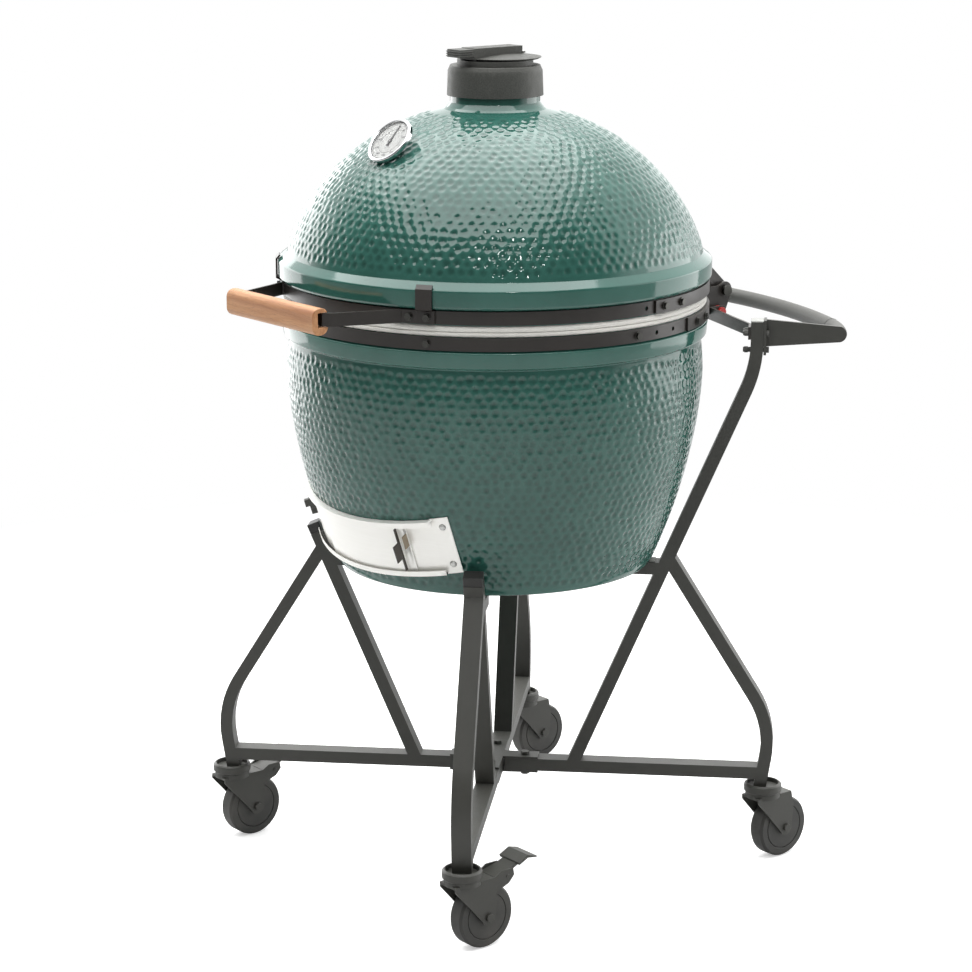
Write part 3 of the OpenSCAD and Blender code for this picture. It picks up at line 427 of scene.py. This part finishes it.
def softened(node, width, segments=2, angle=32.0, material=None, mark=None):
    """Copy of a CAD node with its sharp edges rounded, as real metal, wood and plastic have.
    Thin sheet, with a width of 0, keeps its cut edges.
    mark is (material, test): faces whose middle passes the test take that material."""
    mesh = frame["nodes"][node].data.copy()
    mesh.materials.clear()
    mesh.materials.append(material or looks[slot_of[node]])
    work = bmesh.new()
    work.from_mesh(mesh)
    bmesh.ops.remove_doubles(work, verts=work.verts, dist=2e-6)
    if width > 0:
        bmesh.ops.dissolve_limit(
            work, angle_limit=math.radians(0.3), verts=work.verts, edges=work.edges, delimit={"NORMAL"}
        )
    if mark:
        mesh.materials.append(mark[0])
    for face in work.faces:
        face.material_index = int(bool(mark and mark[1](face.calc_center_median() / MM)))
    work.to_mesh(mesh)
    work.free()
    piece = bpy.data.objects.new(node + "_piece", mesh)
    bpy.context.scene.collection.objects.link(piece)
    if width > 0:
        bevel = piece.modifiers.new("edges", "BEVEL")
        bevel.width = width * MM
        bevel.segments = segments
        bevel.limit_method = "ANGLE"
        bevel.angle_limit = math.radians(angle)
        bevel.use_clamp_overlap = True
        bevel.miter_outer = "MITER_ARC"
        applied(piece)
    piece.data.shade_smooth()
    piece.data.set_sharp_from_angle(angle=math.radians(38.0))
    flatten = piece.modifiers.new("flat_faces", "WEIGHTED_NORMAL")
    flatten.keep_sharp = True
    applied(piece)
    finish_piece(piece, node)
    return piece


draft_joint = next(j for j in frame["joints"] if j["name"] == "draft_door_slide")
SEAT_PIVOT = np.array(draft_joint["pos_m"]) / MM
SEAT_UP = -np.array(draft_joint["axis"])
SEAT_FRONT = np.cross((1.0, 0.0, 0.0), SEAT_UP)
SEAT_R = 297.7
SEAT_HALF = 38.4
SEAT_HALF_H = 49.0


def super_radius(t, a, h, p, q):
    return a * max(0.0, 1.0 - (abs(t) / h) ** p) ** (1.0 / q)


def rounded_path(corners, steps=4):
    """Points along a polyline whose corners (x, y, radius) are replaced by arcs."""
    path = []
    last = len(corners) - 1
    for i, (x, y, radius) in enumerate(corners):
        here = np.array([x, y], float)
        if radius <= 0 or i in (0, last):
            path.append(here)
            continue
        before = np.array(corners[i - 1][:2], float) - here
        after = np.array(corners[i + 1][:2], float) - here
        u, v = before / np.linalg.norm(before), after / np.linalg.norm(after)
        half = math.acos(max(-1.0, min(1.0, float(u @ v)))) / 2
        reach = min(radius / math.tan(half), 0.49 * np.linalg.norm(before), 0.49 * np.linalg.norm(after))
        start, end = here + u * reach, here + v * reach
        for k in range(steps + 1):
            t = k / steps
            path.append((1 - t) ** 2 * start + 2 * t * (1 - t) * here + t ** 2 * end)
    return path


def resampled(points, spacing):
    """The same line with points at an even spacing."""
    points = np.array(points, float)
    lengths = np.concatenate([[0.0], np.cumsum(np.linalg.norm(np.diff(points, axis=0), axis=1))])
    count = max(2, int(round(lengths[-1] / spacing)))
    at = np.linspace(0.0, lengths[-1], count + 1)
    return np.stack([np.interp(at, lengths, points[:, k]) for k in (0, 1)], axis=1)


# ---------------------------------------------------------------- dimpled ceramic

FINE_COLUMNS = 960
COARSE = 4
ROW_SPACING = 2.25
ROW_PITCH = 12.2
COLUMN_PITCH = 15.4
ROWS_PER_BAND = 5


def dimple_field(line, depth, radius, fade):
    """Depth of the dimples at every row and column of a surface of revolution.

    Dimples sit in staggered rows. Their count is kept over a band of rows, so that the
    stagger stays true, and drops from band to band as the egg narrows."""
    steps = np.linalg.norm(np.diff(line, axis=0), axis=1)
    along = np.concatenate([[0.0], np.cumsum(steps)])
    columns = np.arange(FINE_COLUMNS) * 2 * math.pi / FINE_COLUMNS
    field = np.zeros((len(line), FINE_COLUMNS))
    rows = int((along[-1] - 2 * fade) / ROW_PITCH) + 1
    drift = np.cumsum(rng.normal(0.0, 0.10, rows))
    for j in range(rows):
        place = fade + j * ROW_PITCH
        band_start = fade + (j // ROWS_PER_BAND + 0.5) * ROWS_PER_BAND * ROW_PITCH
        band_r = np.interp(min(band_start, along[-1]), along, line[:, 0])
        count = max(8, int(round(2 * math.pi * band_r / COLUMN_PITCH)))
        turn = (j % 2) * 0.5 + 0.31 * (j // ROWS_PER_BAND) + drift[j]
        shift_x = rng.normal(0.0, 1.4, count)
        shift_y = rng.normal(0.0, 1.2, count)
        deep = depth * rng.uniform(0.6, 1.2, count)
        wide = radius * rng.uniform(0.85, 1.08, count)
        row_r = np.interp(place, along, line[:, 0])
        squeeze = min(1.0, 2 * math.pi * row_r / count / COLUMN_PITCH * 1.04)
        for i in np.nonzero(np.abs(along - place) < radius + 3.0)[0]:
            slot = columns / (2 * math.pi) * count - turn
            nearest = np.round(slot).astype(int)
            which = nearest % count
            arc = (slot - nearest) * 2 * math.pi / count * line[i, 0] - shift_x[which]
            up = along[i] - place - shift_y[which]
            rho2 = (arc ** 2 + up ** 2) / (wide[which] * squeeze) ** 2
            dent = deep[which] * squeeze * np.clip(1.0 - rho2, 0.0, None) ** 1.25
            field[i] = np.maximum(field[i], dent)
    return field


def press_draft_seat(points):
    """Flattens the shallow seat on the base that the draft frame is screwed to."""
    offset = points / MM - SEAT_PIVOT
    x, ahead, height = offset[:, 0], offset @ SEAT_FRONT, offset @ SEAT_UP
    reach = np.hypot(x, ahead)
    turn = np.degrees(np.arctan2(x, ahead))
    proud = (np.abs(turn) < SEAT_HALF) & (np.abs(height) < SEAT_HALF_H) & (reach > SEAT_R)
    shrink = np.where(proud, SEAT_R / np.maximum(reach, 1.0), 1.0)
    flat = SEAT_PIVOT + SEAT_UP * height[:, None] + SEAT_FRONT * (ahead * shrink)[:, None]
    flat[:, 0] = SEAT_PIVOT[0] + x * shrink
    return np.where(proud[:, None], flat, points / MM) * MM


def ceramic(name, node, loop, opening=None):
    """Turned ceramic body. loop is a list of stretches, each a dict with a line of (radius,
    height) points, a material index and, for a glazed stretch, a dimple field."""
    rings = []
    for stretch in loop:
        line = np.array(stretch["line"], float)
        dents = stretch.get("dents")
        tangent = np.gradient(line, axis=0)
        tangent /= np.linalg.norm(tangent, axis=1)[:, None] + 1e-12
        for i in range(len(line)):
            count = FINE_COLUMNS if dents is not None else FINE_COLUMNS // COARSE
            turn = np.arange(count) * 2 * math.pi / count
            dent = dents[i] if dents is not None else np.zeros(count)
            r = line[i, 0] - dent * tangent[i, 1]
            z = line[i, 1] + dent * tangent[i, 0]
            deepest = dents.max() if dents is not None else 1.0
            rings.append((r, z, turn, dent / deepest, stretch["material"]))
    verts, pool, starts = [], [], []
    for r, z, turn, depth, _ in rings:
        starts.append(len(verts))
        xyz = np.stack([r * np.sin(turn), EGG_Y - r * np.cos(turn), z], axis=1) * MM
        verts.extend(xyz)
        pool.extend(depth)
    verts = np.array(verts)
    if opening:
        verts = press_draft_seat(verts)
    faces, marks = [], []
    total = len(rings)
    for i in range(total):
        k = (i + 1) % total
        n, m = len(rings[i][2]), len(rings[k][2])
        a, b = starts[i], starts[k]
        for c in range(min(n, m)):
            if opening and opening(rings[i], rings[k], c, min(n, m)):
                continue
            if n == m:
                face = (a + c, a + (c + 1) % n, b + (c + 1) % n, b + c)
            elif n > m:
                face = tuple(a + (c * COARSE + s) % n for s in range(COARSE + 1)) + (b + (c + 1) % m, b + c)
            else:
                face = (a + c, a + (c + 1) % n) + tuple(
                    b + (c * COARSE + s) % m for s in range(COARSE, -1, -1))
            faces.append(face)
            marks.append(rings[i][4] if n >= m else rings[k][4])
    if opening:
        for face in opening_walls(rings, starts):
            faces.append(face)
            marks.append(1)
    piece = new_object(name, verts, faces, [looks["glaze"], looks["clay"]], 55.0)
    if len(piece.data.polygons) == len(marks):
        piece.data.polygons.foreach_set("material_index", marks)
    layer = piece.data.attributes.new("pool", "FLOAT", "POINT")
    layer.data.foreach_set("value", np.array(pool, np.float32))
    finish_piece(piece, node)
    return piece


# Superellipses of the two ceramic outlines: radius, half height and the two powers
DOME = (FLANGE_R - 12.8, 238.7, 1.526, 2.152)
BASE = (FLANGE_R - 11.8, 548.0, 1.625, 1.878)
WALL = 22.0
FLANGE_Z = SPLIT_Z + 61.5
BASE_MID_Z = SPLIT_Z - 113.5
BASE_FLOOR_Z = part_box("base_shell")[0].z / MM
DOME_TOP_Z = dome_high.z / MM
RIM_R = FLANGE_R - 10
NECK_R = 70.0
FLUE_R = 50.0


def dome_radius(z, inset=0.0):
    return super_radius(z - FLANGE_Z, DOME[0] - inset, DOME[1] - inset, DOME[2], DOME[3])


def dome_height(r, inset=0.0):
    return FLANGE_Z + (DOME[1] - inset) * (1 - (r / (DOME[0] - inset)) ** DOME[3]) ** (1 / DOME[2])


def base_radius(z):
    return super_radius(z - BASE_MID_Z, *BASE)


def build_dome():
    bevel_z = FLANGE_Z + 11
    rim_z = SPLIT_Z + 3
    flange = rounded_path([
        (RIM_R - WALL, rim_z, 0), (RIM_R, rim_z, 2), (RIM_R, SPLIT_Z + 32.5, 1),
        (FLANGE_R - 3, SPLIT_Z + 34, 2), (FLANGE_R, SPLIT_Z + 37.5, 3), (FLANGE_R, FLANGE_Z, 4),
        (dome_radius(bevel_z), bevel_z, 2), (dome_radius(bevel_z + 5), bevel_z + 5, 0),
    ])
    lower = [(dome_radius(z), z) for z in np.linspace(bevel_z + 5, 1185, 60)]
    upper = [(r, dome_height(r)) for r in np.linspace(dome_radius(1185), 92, 40)]
    skin = resampled(lower + upper[1:], ROW_SPACING)
    root_z = dome_height(80)
    neck = rounded_path([
        (92, dome_height(92), 0), (80, root_z, 2), (NECK_R + 6, root_z + 3.5, 2),
        (NECK_R, root_z + 11, 4), (NECK_R, DOME_TOP_Z, 2), (FLUE_R, DOME_TOP_Z, 2),
        (FLUE_R, dome_height(FLUE_R, WALL), 0),
    ])
    crown = [(r, dome_height(r, WALL)) for r in np.linspace(FLUE_R, 170, 12)]
    inner = [(dome_radius(z, WALL), z) for z in np.linspace(dome_height(170, WALL) - 8, FLANGE_Z, 16)]
    dents = dimple_field(skin, 1.35, 7.3, 9.0)
    ceramic("dome_glazed", "dome_shell", [
        {"line": flange[:-1], "material": 0},
        {"line": skin, "material": 0, "dents": dents},
        {"line": neck[1:], "material": 0},
        {"line": crown[1:] + inner, "material": 1},
    ])


DRAFT_LOW, DRAFT_HIGH = SPLIT_Z - 383.5, SPLIT_Z - 315.5
DRAFT_HALF = 13.5


def in_opening(ring, following, column, count):
    """True for a cell of the base's grid that lies in the draft opening."""
    middle = (column + 0.5) * 360.0 / count
    middle = middle - 360.0 if middle > 180.0 else middle
    level = (float(np.mean(ring[1])) + float(np.mean(following[1]))) / 2
    return abs(middle) < DRAFT_HALF and DRAFT_LOW < level < DRAFT_HIGH


def opening_walls(rings, starts):
    """The four faces that line the draft opening through the wall."""
    def level(ring):
        return float(np.mean(rings[ring][1]))

    spans = [i for i in range(len(rings) - 1) if DRAFT_LOW < (level(i) + level(i + 1)) / 2 < DRAFT_HIGH]

    def column(columns):
        """Rings that border the opening on one side of the wall, from low to high."""
        found = {ring for i in spans for ring in (i, i + 1) if len(rings[i][2]) == columns}
        return sorted(found, key=level)

    def corner(ring, step):
        count = len(rings[ring][2])
        return starts[ring] + step % count

    def half(ring):
        return int(round(DRAFT_HALF / 360.0 * len(rings[ring][2])))

    def arc(ring):
        return [corner(ring, c) for c in range(-half(ring), half(ring) + 1)]

    def side(column_rings, sign):
        return [corner(ring, sign * half(ring)) for ring in column_rings]

    outer, inner = column(FINE_COLUMNS), column(FINE_COLUMNS // COARSE)
    return [
        arc(outer[0]) + arc(inner[0])[::-1],
        arc(outer[-1])[::-1] + arc(inner[-1]),
        side(outer, 1) + side(inner, 1)[::-1],
        side(outer, -1)[::-1] + side(inner, -1),
    ]


def build_base():
    collar_z = SPLIT_Z - 31.5
    skirt_z = collar_z - 23
    body_z = skirt_z - 3
    rim_z = SPLIT_Z - 3
    lip = rounded_path([
        (RIM_R - WALL, rim_z, 0), (RIM_R, rim_z, 2), (RIM_R, collar_z + 2, 2),
        (FLANGE_R - 5, collar_z, 2), (FLANGE_R - 7, skirt_z, 3), (base_radius(body_z), body_z - 1, 2),
        (base_radius(body_z - 6), body_z - 6, 0),
    ])
    lip = lip[::-1]
    foot_z = BASE_FLOOR_Z + 10
    skin_line = [(base_radius(z), z) for z in np.linspace(foot_z, body_z - 6, 90)]
    skin = resampled(skin_line, ROW_SPACING)
    for edge in (DRAFT_LOW, DRAFT_HIGH):
        nearest = int(np.argmin(np.abs(skin[:, 1] - edge)))
        skin[nearest] = (base_radius(edge), edge)
    dents = dimple_field(skin, 1.5, 7.3, 9.0)
    columns = np.arange(FINE_COLUMNS) * 360.0 / FINE_COLUMNS
    near = np.minimum(columns, 360.0 - columns) < DRAFT_HALF + 1.2
    rows = (skin[:, 1] > DRAFT_LOW - 5) & (skin[:, 1] < DRAFT_HIGH + 5)
    dents[np.ix_(rows, near)] = 0.0
    floor_z = BASE_FLOOR_Z + 30
    underside = rounded_path([
        (0.4, BASE_FLOOR_Z, 0), (base_radius(BASE_FLOOR_Z) - 1, BASE_FLOOR_Z, 8),
        (base_radius(foot_z), foot_z, 0),
    ], 6)
    inner_z = [z for z in np.linspace(floor_z + 14, body_z, 18) if min(abs(z - DRAFT_LOW), abs(z - DRAFT_HIGH)) > 9]
    inner_z = sorted(inner_z + [DRAFT_LOW, DRAFT_HIGH], reverse=True)
    inner = [(RIM_R - WALL, rim_z - 1)] + [(base_radius(z) - WALL, z) for z in inner_z]
    inner += [(base_radius(floor_z) - WALL - 12, floor_z), (0.4, floor_z)]
    ceramic("base_glazed", "base_shell", [
        {"line": underside[:-1], "material": 0},
        {"line": skin, "material": 0, "dents": dents},
        {"line": lip[1:], "material": 0},
        {"line": inner, "material": 1},
    ], in_opening)


FELT_HALF = 3.0


def build_felt(name, node, sign, droop):
    """Felt ring glued on a rim, whose soft edge bulges out and hangs over the ceramic.
    sign is 1 for the dome's ring, which rises from the parting line, and -1 for the base's."""
    profile = [
        (-20.0, FELT_HALF), (-20.0, 0.15), (-2.0, 0.15), (0.6, 0.3), (2.0, 1.2), (2.5, 2.8),
        (2.4, 0.6 * droop), (1.7, 0.85 * droop), (0.4, droop), (-0.6, 0.9 * droop), (-0.6, FELT_HALF),
    ]
    columns = 720
    fuzz = rng.normal(0.0, 0.16, (columns, len(profile)))
    verts, faces = [], []
    for c in range(columns):
        turn = 2 * math.pi * c / columns
        for k, (reach, level) in enumerate(profile):
            soft = fuzz[c, k] if reach > 0 else 0.0
            r = RIM_R + reach + soft
            z = SPLIT_Z + sign * max(0.15, level + (0.6 * soft if level > 1 else 0.0))
            verts.append((r * math.sin(turn) * MM, (EGG_Y - r * math.cos(turn)) * MM, z * MM))
    rows = len(profile)
    for c in range(columns):
        following = (c + 1) % columns
        for k in range(rows):
            a, b = k, (k + 1) % rows
            face = (c * rows + a, c * rows + b, following * rows + b, following * rows + a)
            faces.append(face if sign < 0 else face[::-1])
    piece = new_object(name, verts, faces, [looks["felt"]], 60.0)
    finish_piece(piece, node)


build_dome()
build_base()
build_felt("dome_felt", "dome_gasket", 1, 9.0)
build_felt("base_felt", "base_gasket", -1, 7.0)


# ---------------------------------------------------------------- the other nodes

EDGE_WIDTH = {
    "leg_": 2.4, "push_handle": 1.2, "handle_grip": 2.0, "handle_bracket": 0.5, "vent_collar": 1.2,
    "vent_disc": 1.2, "caster_cup": 0.8, "caster_fork": 0.7, "caster_wheel": 1.0,
    "caster_axle": 0.5, "brake_pedal": 0.8, "fire_box": 3.0, "fire_ring": 3.0, "fire_grate": 1.2,
    "draft_frame": 0, "draft_door": 0, "draft_screen": 0, "draft_stop": 0.8,
    "lower_band": 0.5, "upper_band": 0.5, "hinge_": 0.5, "cart_hub": 0.7, "cart_bolts": 0.5,
    "support_pads": 1.0, "rear_stays": 0.5, "stay_bushings": 0.5, "leg_caps": 0.7,
    "thermometer_case": 0.5, "vent_pivot_pin": 0.6,
}
SHEET_OUT_R = 303.2
bright_sheet = bright_sheet_material()
bolt_black = brushed_material("bolt_black", srgb(52, 52, 50), srgb(98, 98, 94), 0.26, (900.0, 900.0, 900.0))
SPECIAL = {
    "leg_caps": cap_material(), "draft_frame": bright_sheet, "draft_door": bright_sheet,
    "draft_screen": bright_sheet, "upper_band_bolts": bolt_black, "lower_band_bolts": bolt_black,
    "hinge_pin": bolt_black,
}


def is_tab(middle):
    """True for the part of a draft leaf that stands out from its sheet."""
    offset = np.array(middle) - SEAT_PIVOT
    return math.hypot(offset[0], offset @ SEAT_FRONT) > SHEET_OUT_R


def in_channel(middle):
    """True for the faces of the draft frame that look into the slot behind its lower lip."""
    offset = np.array(middle) - SEAT_PIVOT
    reach = math.hypot(offset[0], offset @ SEAT_FRONT)
    return offset @ SEAT_UP < -36 and SEAT_R + 3 < reach < SHEET_OUT_R + 2.4


TABS = {
    "draft_frame": (plastic_material("slot_shade", srgb(30, 29, 27), srgb(48, 46, 43), 0.6), in_channel),
    # painted shade: the door's tabs are coloured dark for the shadow that falls on them
    "draft_door": (coated_metal("tab_painted_shade", srgb(58, 54, 50), srgb(84, 78, 72), 0.4, 900.0, 0.2), is_tab),
    # painted reflection: the screen's tabs are coloured tan for the dark tab mirrored in the polished steel
    "draft_screen": (coated_metal("tab_painted_reflection", srgb(138, 124, 104), srgb(160, 146, 124), 0.4, 900.0, 0.2), is_tab),
}
REBUILT = ("dome_shell", "base_shell", "dome_gasket", "base_gasket", "hinge_springs")
PLAIN = ("thermometer_lens", "thermometer_dial", "thermometer_needle", "cooking_grid")


def edge_width(node):
    for prefix, width in EDGE_WIDTH.items():
        if node.startswith(prefix):
            return width
    return 0.4


def repaint(node):
    """Gives a CAD node that is shown as it is its material."""
    item = frame["nodes"][node]
    for s in item.material_slots:
        s.link = "OBJECT"
        s.material = looks[slot_of[node]]


for node in sorted(frame["nodes"]):
    if node in REBUILT:
        continue
    if node in PLAIN:
        repaint(node)
    else:
        softened(node, edge_width(node), material=SPECIAL.get(node), mark=TABS.get(node))


# ---------------------------------------------------------------- dial, vent grip and springs

DIAL_SWEEP = 270.0
DIAL_STEPS = 8
RIB_HIGH = 1.7
RIB_PITCH = 3.4


def boxes_mesh(name, blocks, material):
    """One mesh of separate blocks. A block is a list of four corners of its base, as seen from
    above, and its height vector."""
    verts, faces = [], []
    for corners, rise in blocks:
        n = len(verts)
        verts += [tuple(c) for c in corners] + [tuple(np.array(c) + rise) for c in corners]
        faces += [(n + 3, n + 2, n + 1, n), (n + 4, n + 5, n + 6, n + 7)]
        faces += [(n + i, n + (i + 1) % 4, n + 4 + (i + 1) % 4, n + 4 + i) for i in range(4)]
    return new_object(name, verts, faces, [material], 30.0)


def build_dial():
    """Ring, ticks and numbers printed on the dial. The scale starts where the needle rests."""
    joint = next(j for j in frame["joints"] if j["name"] == "needle_turn")
    out = -np.array(joint["axis"])
    right = np.array((1.0, 0.0, 0.0))
    up = np.cross(out, right)
    pivot = np.array(joint["pos_m"])
    offsets = np.array([v.co for v in frame["nodes"]["thermometer_dial"].data.vertices]) - pivot
    level = offsets @ out
    away = np.linalg.norm(offsets - np.outer(level, out), axis=1)
    face = pivot + out * level[away > 0.02].max()
    ink = 0.12 * MM * out

    def at(radius, degrees):
        a = math.radians(degrees)
        return face + (right * math.sin(a) + up * math.cos(a)) * radius * MM

    def tick(degrees, r0, r1, half):
        wide = math.degrees(half / r0), math.degrees(half / r1)
        corners = [at(r0, degrees + wide[0]), at(r1, degrees + wide[1]),
                   at(r1, degrees - wide[1]), at(r0, degrees - wide[0])]
        return corners, ink

    blocks = []
    for k in range(DIAL_STEPS * 5 + 1):
        major = k % 5 == 0
        blocks.append(tick(k * DIAL_SWEEP / DIAL_STEPS / 5, 30.0 if major else 31.8, 34.2, 0.45 if major else 0.2))
    for radius in (21.5, 34.6):
        blocks += [tick(a, radius, radius + 0.5, radius * math.radians(2.05)) for a in range(0, 360, 4)]
    print_look = plastic_material("dial_print", srgb(38, 40, 42), srgb(58, 60, 62), 0.5)
    marks = boxes_mesh("dial_marks", blocks, print_look)
    finish_piece(marks, "thermometer_dial", stands_for=False)
    for k in range(DIAL_STEPS + 1):
        number = bpy.data.curves.new(f"dial_number_{k}", "FONT")
        number.body = str(k * 50)
        number.size = 5.2 * MM
        number.align_x, number.align_y = "CENTER", "CENTER"
        number.extrude = 0.06 * MM
        shape = bpy.data.objects.new(f"number_{k}", number)
        bpy.context.scene.collection.objects.link(shape)
        graph = bpy.context.evaluated_depsgraph_get()
        mesh = bpy.data.meshes.new_from_object(shape.evaluated_get(graph), depsgraph=graph)
        bpy.data.objects.remove(shape)
        place = Matrix((right, up, out)).transposed().to_4x4()
        place.translation = Vector(at(26.2, k * DIAL_SWEEP / DIAL_STEPS) + ink / 2)
        mesh.transform(place)
        mesh.materials.append(print_look)
        piece = bpy.data.objects.new(f"dial_number_{k}", mesh)
        bpy.context.scene.collection.objects.link(piece)
        finish_piece(piece, "thermometer_dial", stands_for=False)


def build_vent_ribs():
    """Ribs round the front end of the vent cap's grip, for the fingers."""
    low, high = (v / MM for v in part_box("vent_disc"))
    half, front, top = 16.5, low.y, high.z - 1.0
    blocks = []
    for k in range(3):
        z = top - 2.4 - k * RIB_PITCH
        x, y0, y1 = half + 1.3, front - 1.3, front + 24
        corners = [np.array(c) * MM for c in ((-x, y0, z), (x, y0, z), (x, y1, z), (-x, y1, z))]
        blocks.append((corners, np.array((0, 0, -RIB_HIGH)) * MM))
    blocks = [(corners[::-1], rise) for corners, rise in blocks]
    ribs = boxes_mesh("vent_grip_ribs", blocks, looks["cast_iron"])
    edges = ribs.modifiers.new("edges", "BEVEL")
    edges.width = 0.4 * MM
    applied(ribs)
    finish_piece(ribs, "vent_disc", stands_for=False)


def build_springs():
    """The two coils on the hinge pin, as smooth round wire."""
    low, high = (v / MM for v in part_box("hinge_springs"))
    centre_y, centre_z = (low.y + high.y) / 2, (low.z + high.z) / 2
    outer = (high.z - low.z) / 2
    wire, turns, sides = 2.5, 8, 14
    ring = outer - wire
    verts, faces = [], []
    for start in (low.x + wire, 30.0 + wire):
        length = high.x - 30.0 - 2 * wire
        steps = turns * 40
        first = len(verts)
        for i in range(steps + 1):
            turn = 2 * math.pi * turns * i / steps
            along = start + length * i / steps
            for k in range(sides):
                a = 2 * math.pi * k / sides
                r = ring + wire * math.cos(a)
                verts.append((
                    (along + wire * math.sin(a)) * MM,
                    (centre_y + r * math.cos(turn)) * MM,
                    (centre_z + r * math.sin(turn)) * MM,
                ))
        for i in range(steps):
            for k in range(sides):
                a, b = first + i * sides + k, first + i * sides + (k + 1) % sides
                faces.append((a, b, b + sides, a + sides))
        faces.append(tuple(first + k for k in reversed(range(sides))))
        faces.append(tuple(first + steps * sides + k for k in range(sides)))
    piece = new_object("hinge_springs_wire", verts, faces, [looks["steel"]])
    finish_piece(piece, "hinge_springs")


build_dial()
build_vent_ribs()
build_springs()


# ---------------------------------------------------------------- floor, light and camera

FLOOR_GLOW = 0.45
CAMERA_AZIMUTH = math.radians(51.34)
SWEEP_AZIMUTH = math.radians(212)
ROOM = 0.12
SWEEP = 1.7
FAR = 2.4


def stage_floor():
    """White floor. The camera sees it glow a little, and fully at a distance, as on an overexposed
    studio sweep, while reflections see plain light grey paint."""
    mesh = bpy.data.meshes.new("floor")
    reach = 14.0
    mesh.from_pydata(
        [(-reach, -reach, 0), (reach, -reach, 0), (reach, reach, 0), (-reach, reach, 0)], [], [(0, 1, 2, 3)]
    )
    p = Paint("floor")
    seen = p.nodes.new("ShaderNodeLightPath").outputs["Is Camera Ray"]
    p.set(Base_Color=p.mix(seen, (0.62, 0.62, 0.62), (0.9, 0.9, 0.9)), Roughness=0.8)
    p.set(Emission_Color=(1.0, 1.0, 1.0), Emission_Strength=p.math("MULTIPLY", seen, FLOOR_GLOW))
    glow = p.nodes.new("ShaderNodeEmission")
    length = p.nodes.new("ShaderNodeVectorMath")
    length.operation = "LENGTH"
    p.links.new(p.coords, length.inputs[0])
    far = p.ramp(p.math("DIVIDE", length.outputs["Value"], FAR), [(0.4, 0.0), (1.0, 1.0)])
    choose = p.nodes.new("ShaderNodeMixShader")
    p.links.new(p.math("MULTIPLY", far, seen), choose.inputs[0])
    p.links.new(p.bsdf.outputs[0], choose.inputs[1])
    p.links.new(glow.outputs[0], choose.inputs[2])
    p.links.new(choose.outputs[0], p.out.inputs["Surface"])
    mesh.materials.append(p.material)
    floor = bpy.data.objects.new("floor", mesh)
    bpy.context.scene.collection.objects.link(floor)


def area_light(name, place, size, power, aim=None, turn=0.0):
    """Rectangular lamp that hangs level, or is aimed at a point."""
    light = bpy.data.lights.new(name, "AREA")
    light.shape = "RECTANGLE"
    light.size, light.size_y = size
    light.energy = power
    lamp = bpy.data.objects.new(name, light)
    lamp.location = place
    lamp.rotation_euler = (0.0, 0.0, turn)
    if aim:
        lamp.rotation_euler = (Vector(aim) - Vector(place)).to_track_quat("-Z", "Y").to_euler()
    bpy.context.scene.collection.objects.link(lamp)
    lamp.visible_camera = False
    return lamp


def studio_world():
    """White for the camera. Reflections see a bright sweep behind the grill, and a dim room in
    front of it."""
    world = bpy.data.worlds.new("studio")
    bpy.context.scene.world = world
    world.use_nodes = True
    nodes, links = world.node_tree.nodes, world.node_tree.links
    nodes.clear()

    def made(kind, **values):
        node = nodes.new("ShaderNode" + kind)
        for key, value in values.items():
            node.inputs[key].default_value = value
        return node

    out = made("OutputWorld")
    coords = made("TexCoord")
    along = nodes.new("ShaderNodeVectorMath")
    along.operation = "DOT_PRODUCT"
    along.inputs[1].default_value = (math.sin(SWEEP_AZIMUTH), -math.cos(SWEEP_AZIMUTH), 0.0)
    links.new(coords.outputs["Generated"], along.inputs[0])
    sweep = nodes.new("ShaderNodeMapRange")
    sweep.interpolation_type = "SMOOTHSTEP"
    for key, value in (("From Min", -0.2), ("From Max", 0.25), ("To Min", ROOM), ("To Max", SWEEP)):
        sweep.inputs[key].default_value = value
    links.new(along.outputs["Value"], sweep.inputs["Value"])
    room = made("Background")
    links.new(sweep.outputs[0], room.inputs["Strength"])
    room.inputs["Color"].default_value = (1.0, 1.0, 1.0, 1.0)
    seen = made("Background", Color=(1.0, 1.0, 1.0, 1.0), Strength=1.0)
    path = made("LightPath")
    choose = made("MixShader")
    links.new(path.outputs["Is Camera Ray"], choose.inputs[0])
    links.new(room.outputs[0], choose.inputs[1])
    links.new(seen.outputs[0], choose.inputs[2])
    links.new(choose.outputs[0], out.inputs["Surface"])


def studio_camera():
    """Camera at the viewing angle of the reference: front right, slightly above the flange."""
    azimuth, yaw, pitch = CAMERA_AZIMUTH, math.radians(0.187), math.radians(13.66)
    forward = Vector((
        -math.sin(azimuth + yaw) * math.cos(pitch), math.cos(azimuth + yaw) * math.cos(pitch), -math.sin(pitch)
    ))
    right = Vector((math.cos(azimuth + yaw), math.sin(azimuth + yaw), 0.0))
    up = right.cross(forward)
    camera_data = bpy.data.cameras.new("camera")
    camera_data.sensor_width = 36.0
    camera_data.lens = 2867.3 / 972 * 36.0
    camera_data.clip_end = 60.0
    camera = bpy.data.objects.new("camera", camera_data)
    place = Vector((3.4827, -2.7857 + EGG_Y * MM, 1.6965))
    turn = Matrix((right, up, -forward)).transposed().to_4x4()
    camera.matrix_world = Matrix.Translation(place) @ turn
    bpy.context.scene.collection.objects.link(camera)
    bpy.context.scene.camera = camera


stage_floor()
studio_world()
area_light("softbox", (-0.31, -0.43, 3.6), (3.9, 4.6), 200.0, turn=CAMERA_AZIMUTH)
for name, degrees, power in (("side_left", -86.0, 42.0), ("side_right", 160.0, 36.0)):
    away = math.radians(degrees)
    area_light(name, (3.1 * math.sin(away), -3.1 * math.cos(away), 0.8), (2.4, 2.4), power, aim=(0, 0, 0.7))
area_light("spark", (2.9, -1.7, 3.3), (0.3, 0.3), 12.0, aim=(0.0, 0.0, 1.0))
studio_camera()
bpy.context.scene.view_settings.view_transform = "Standard"
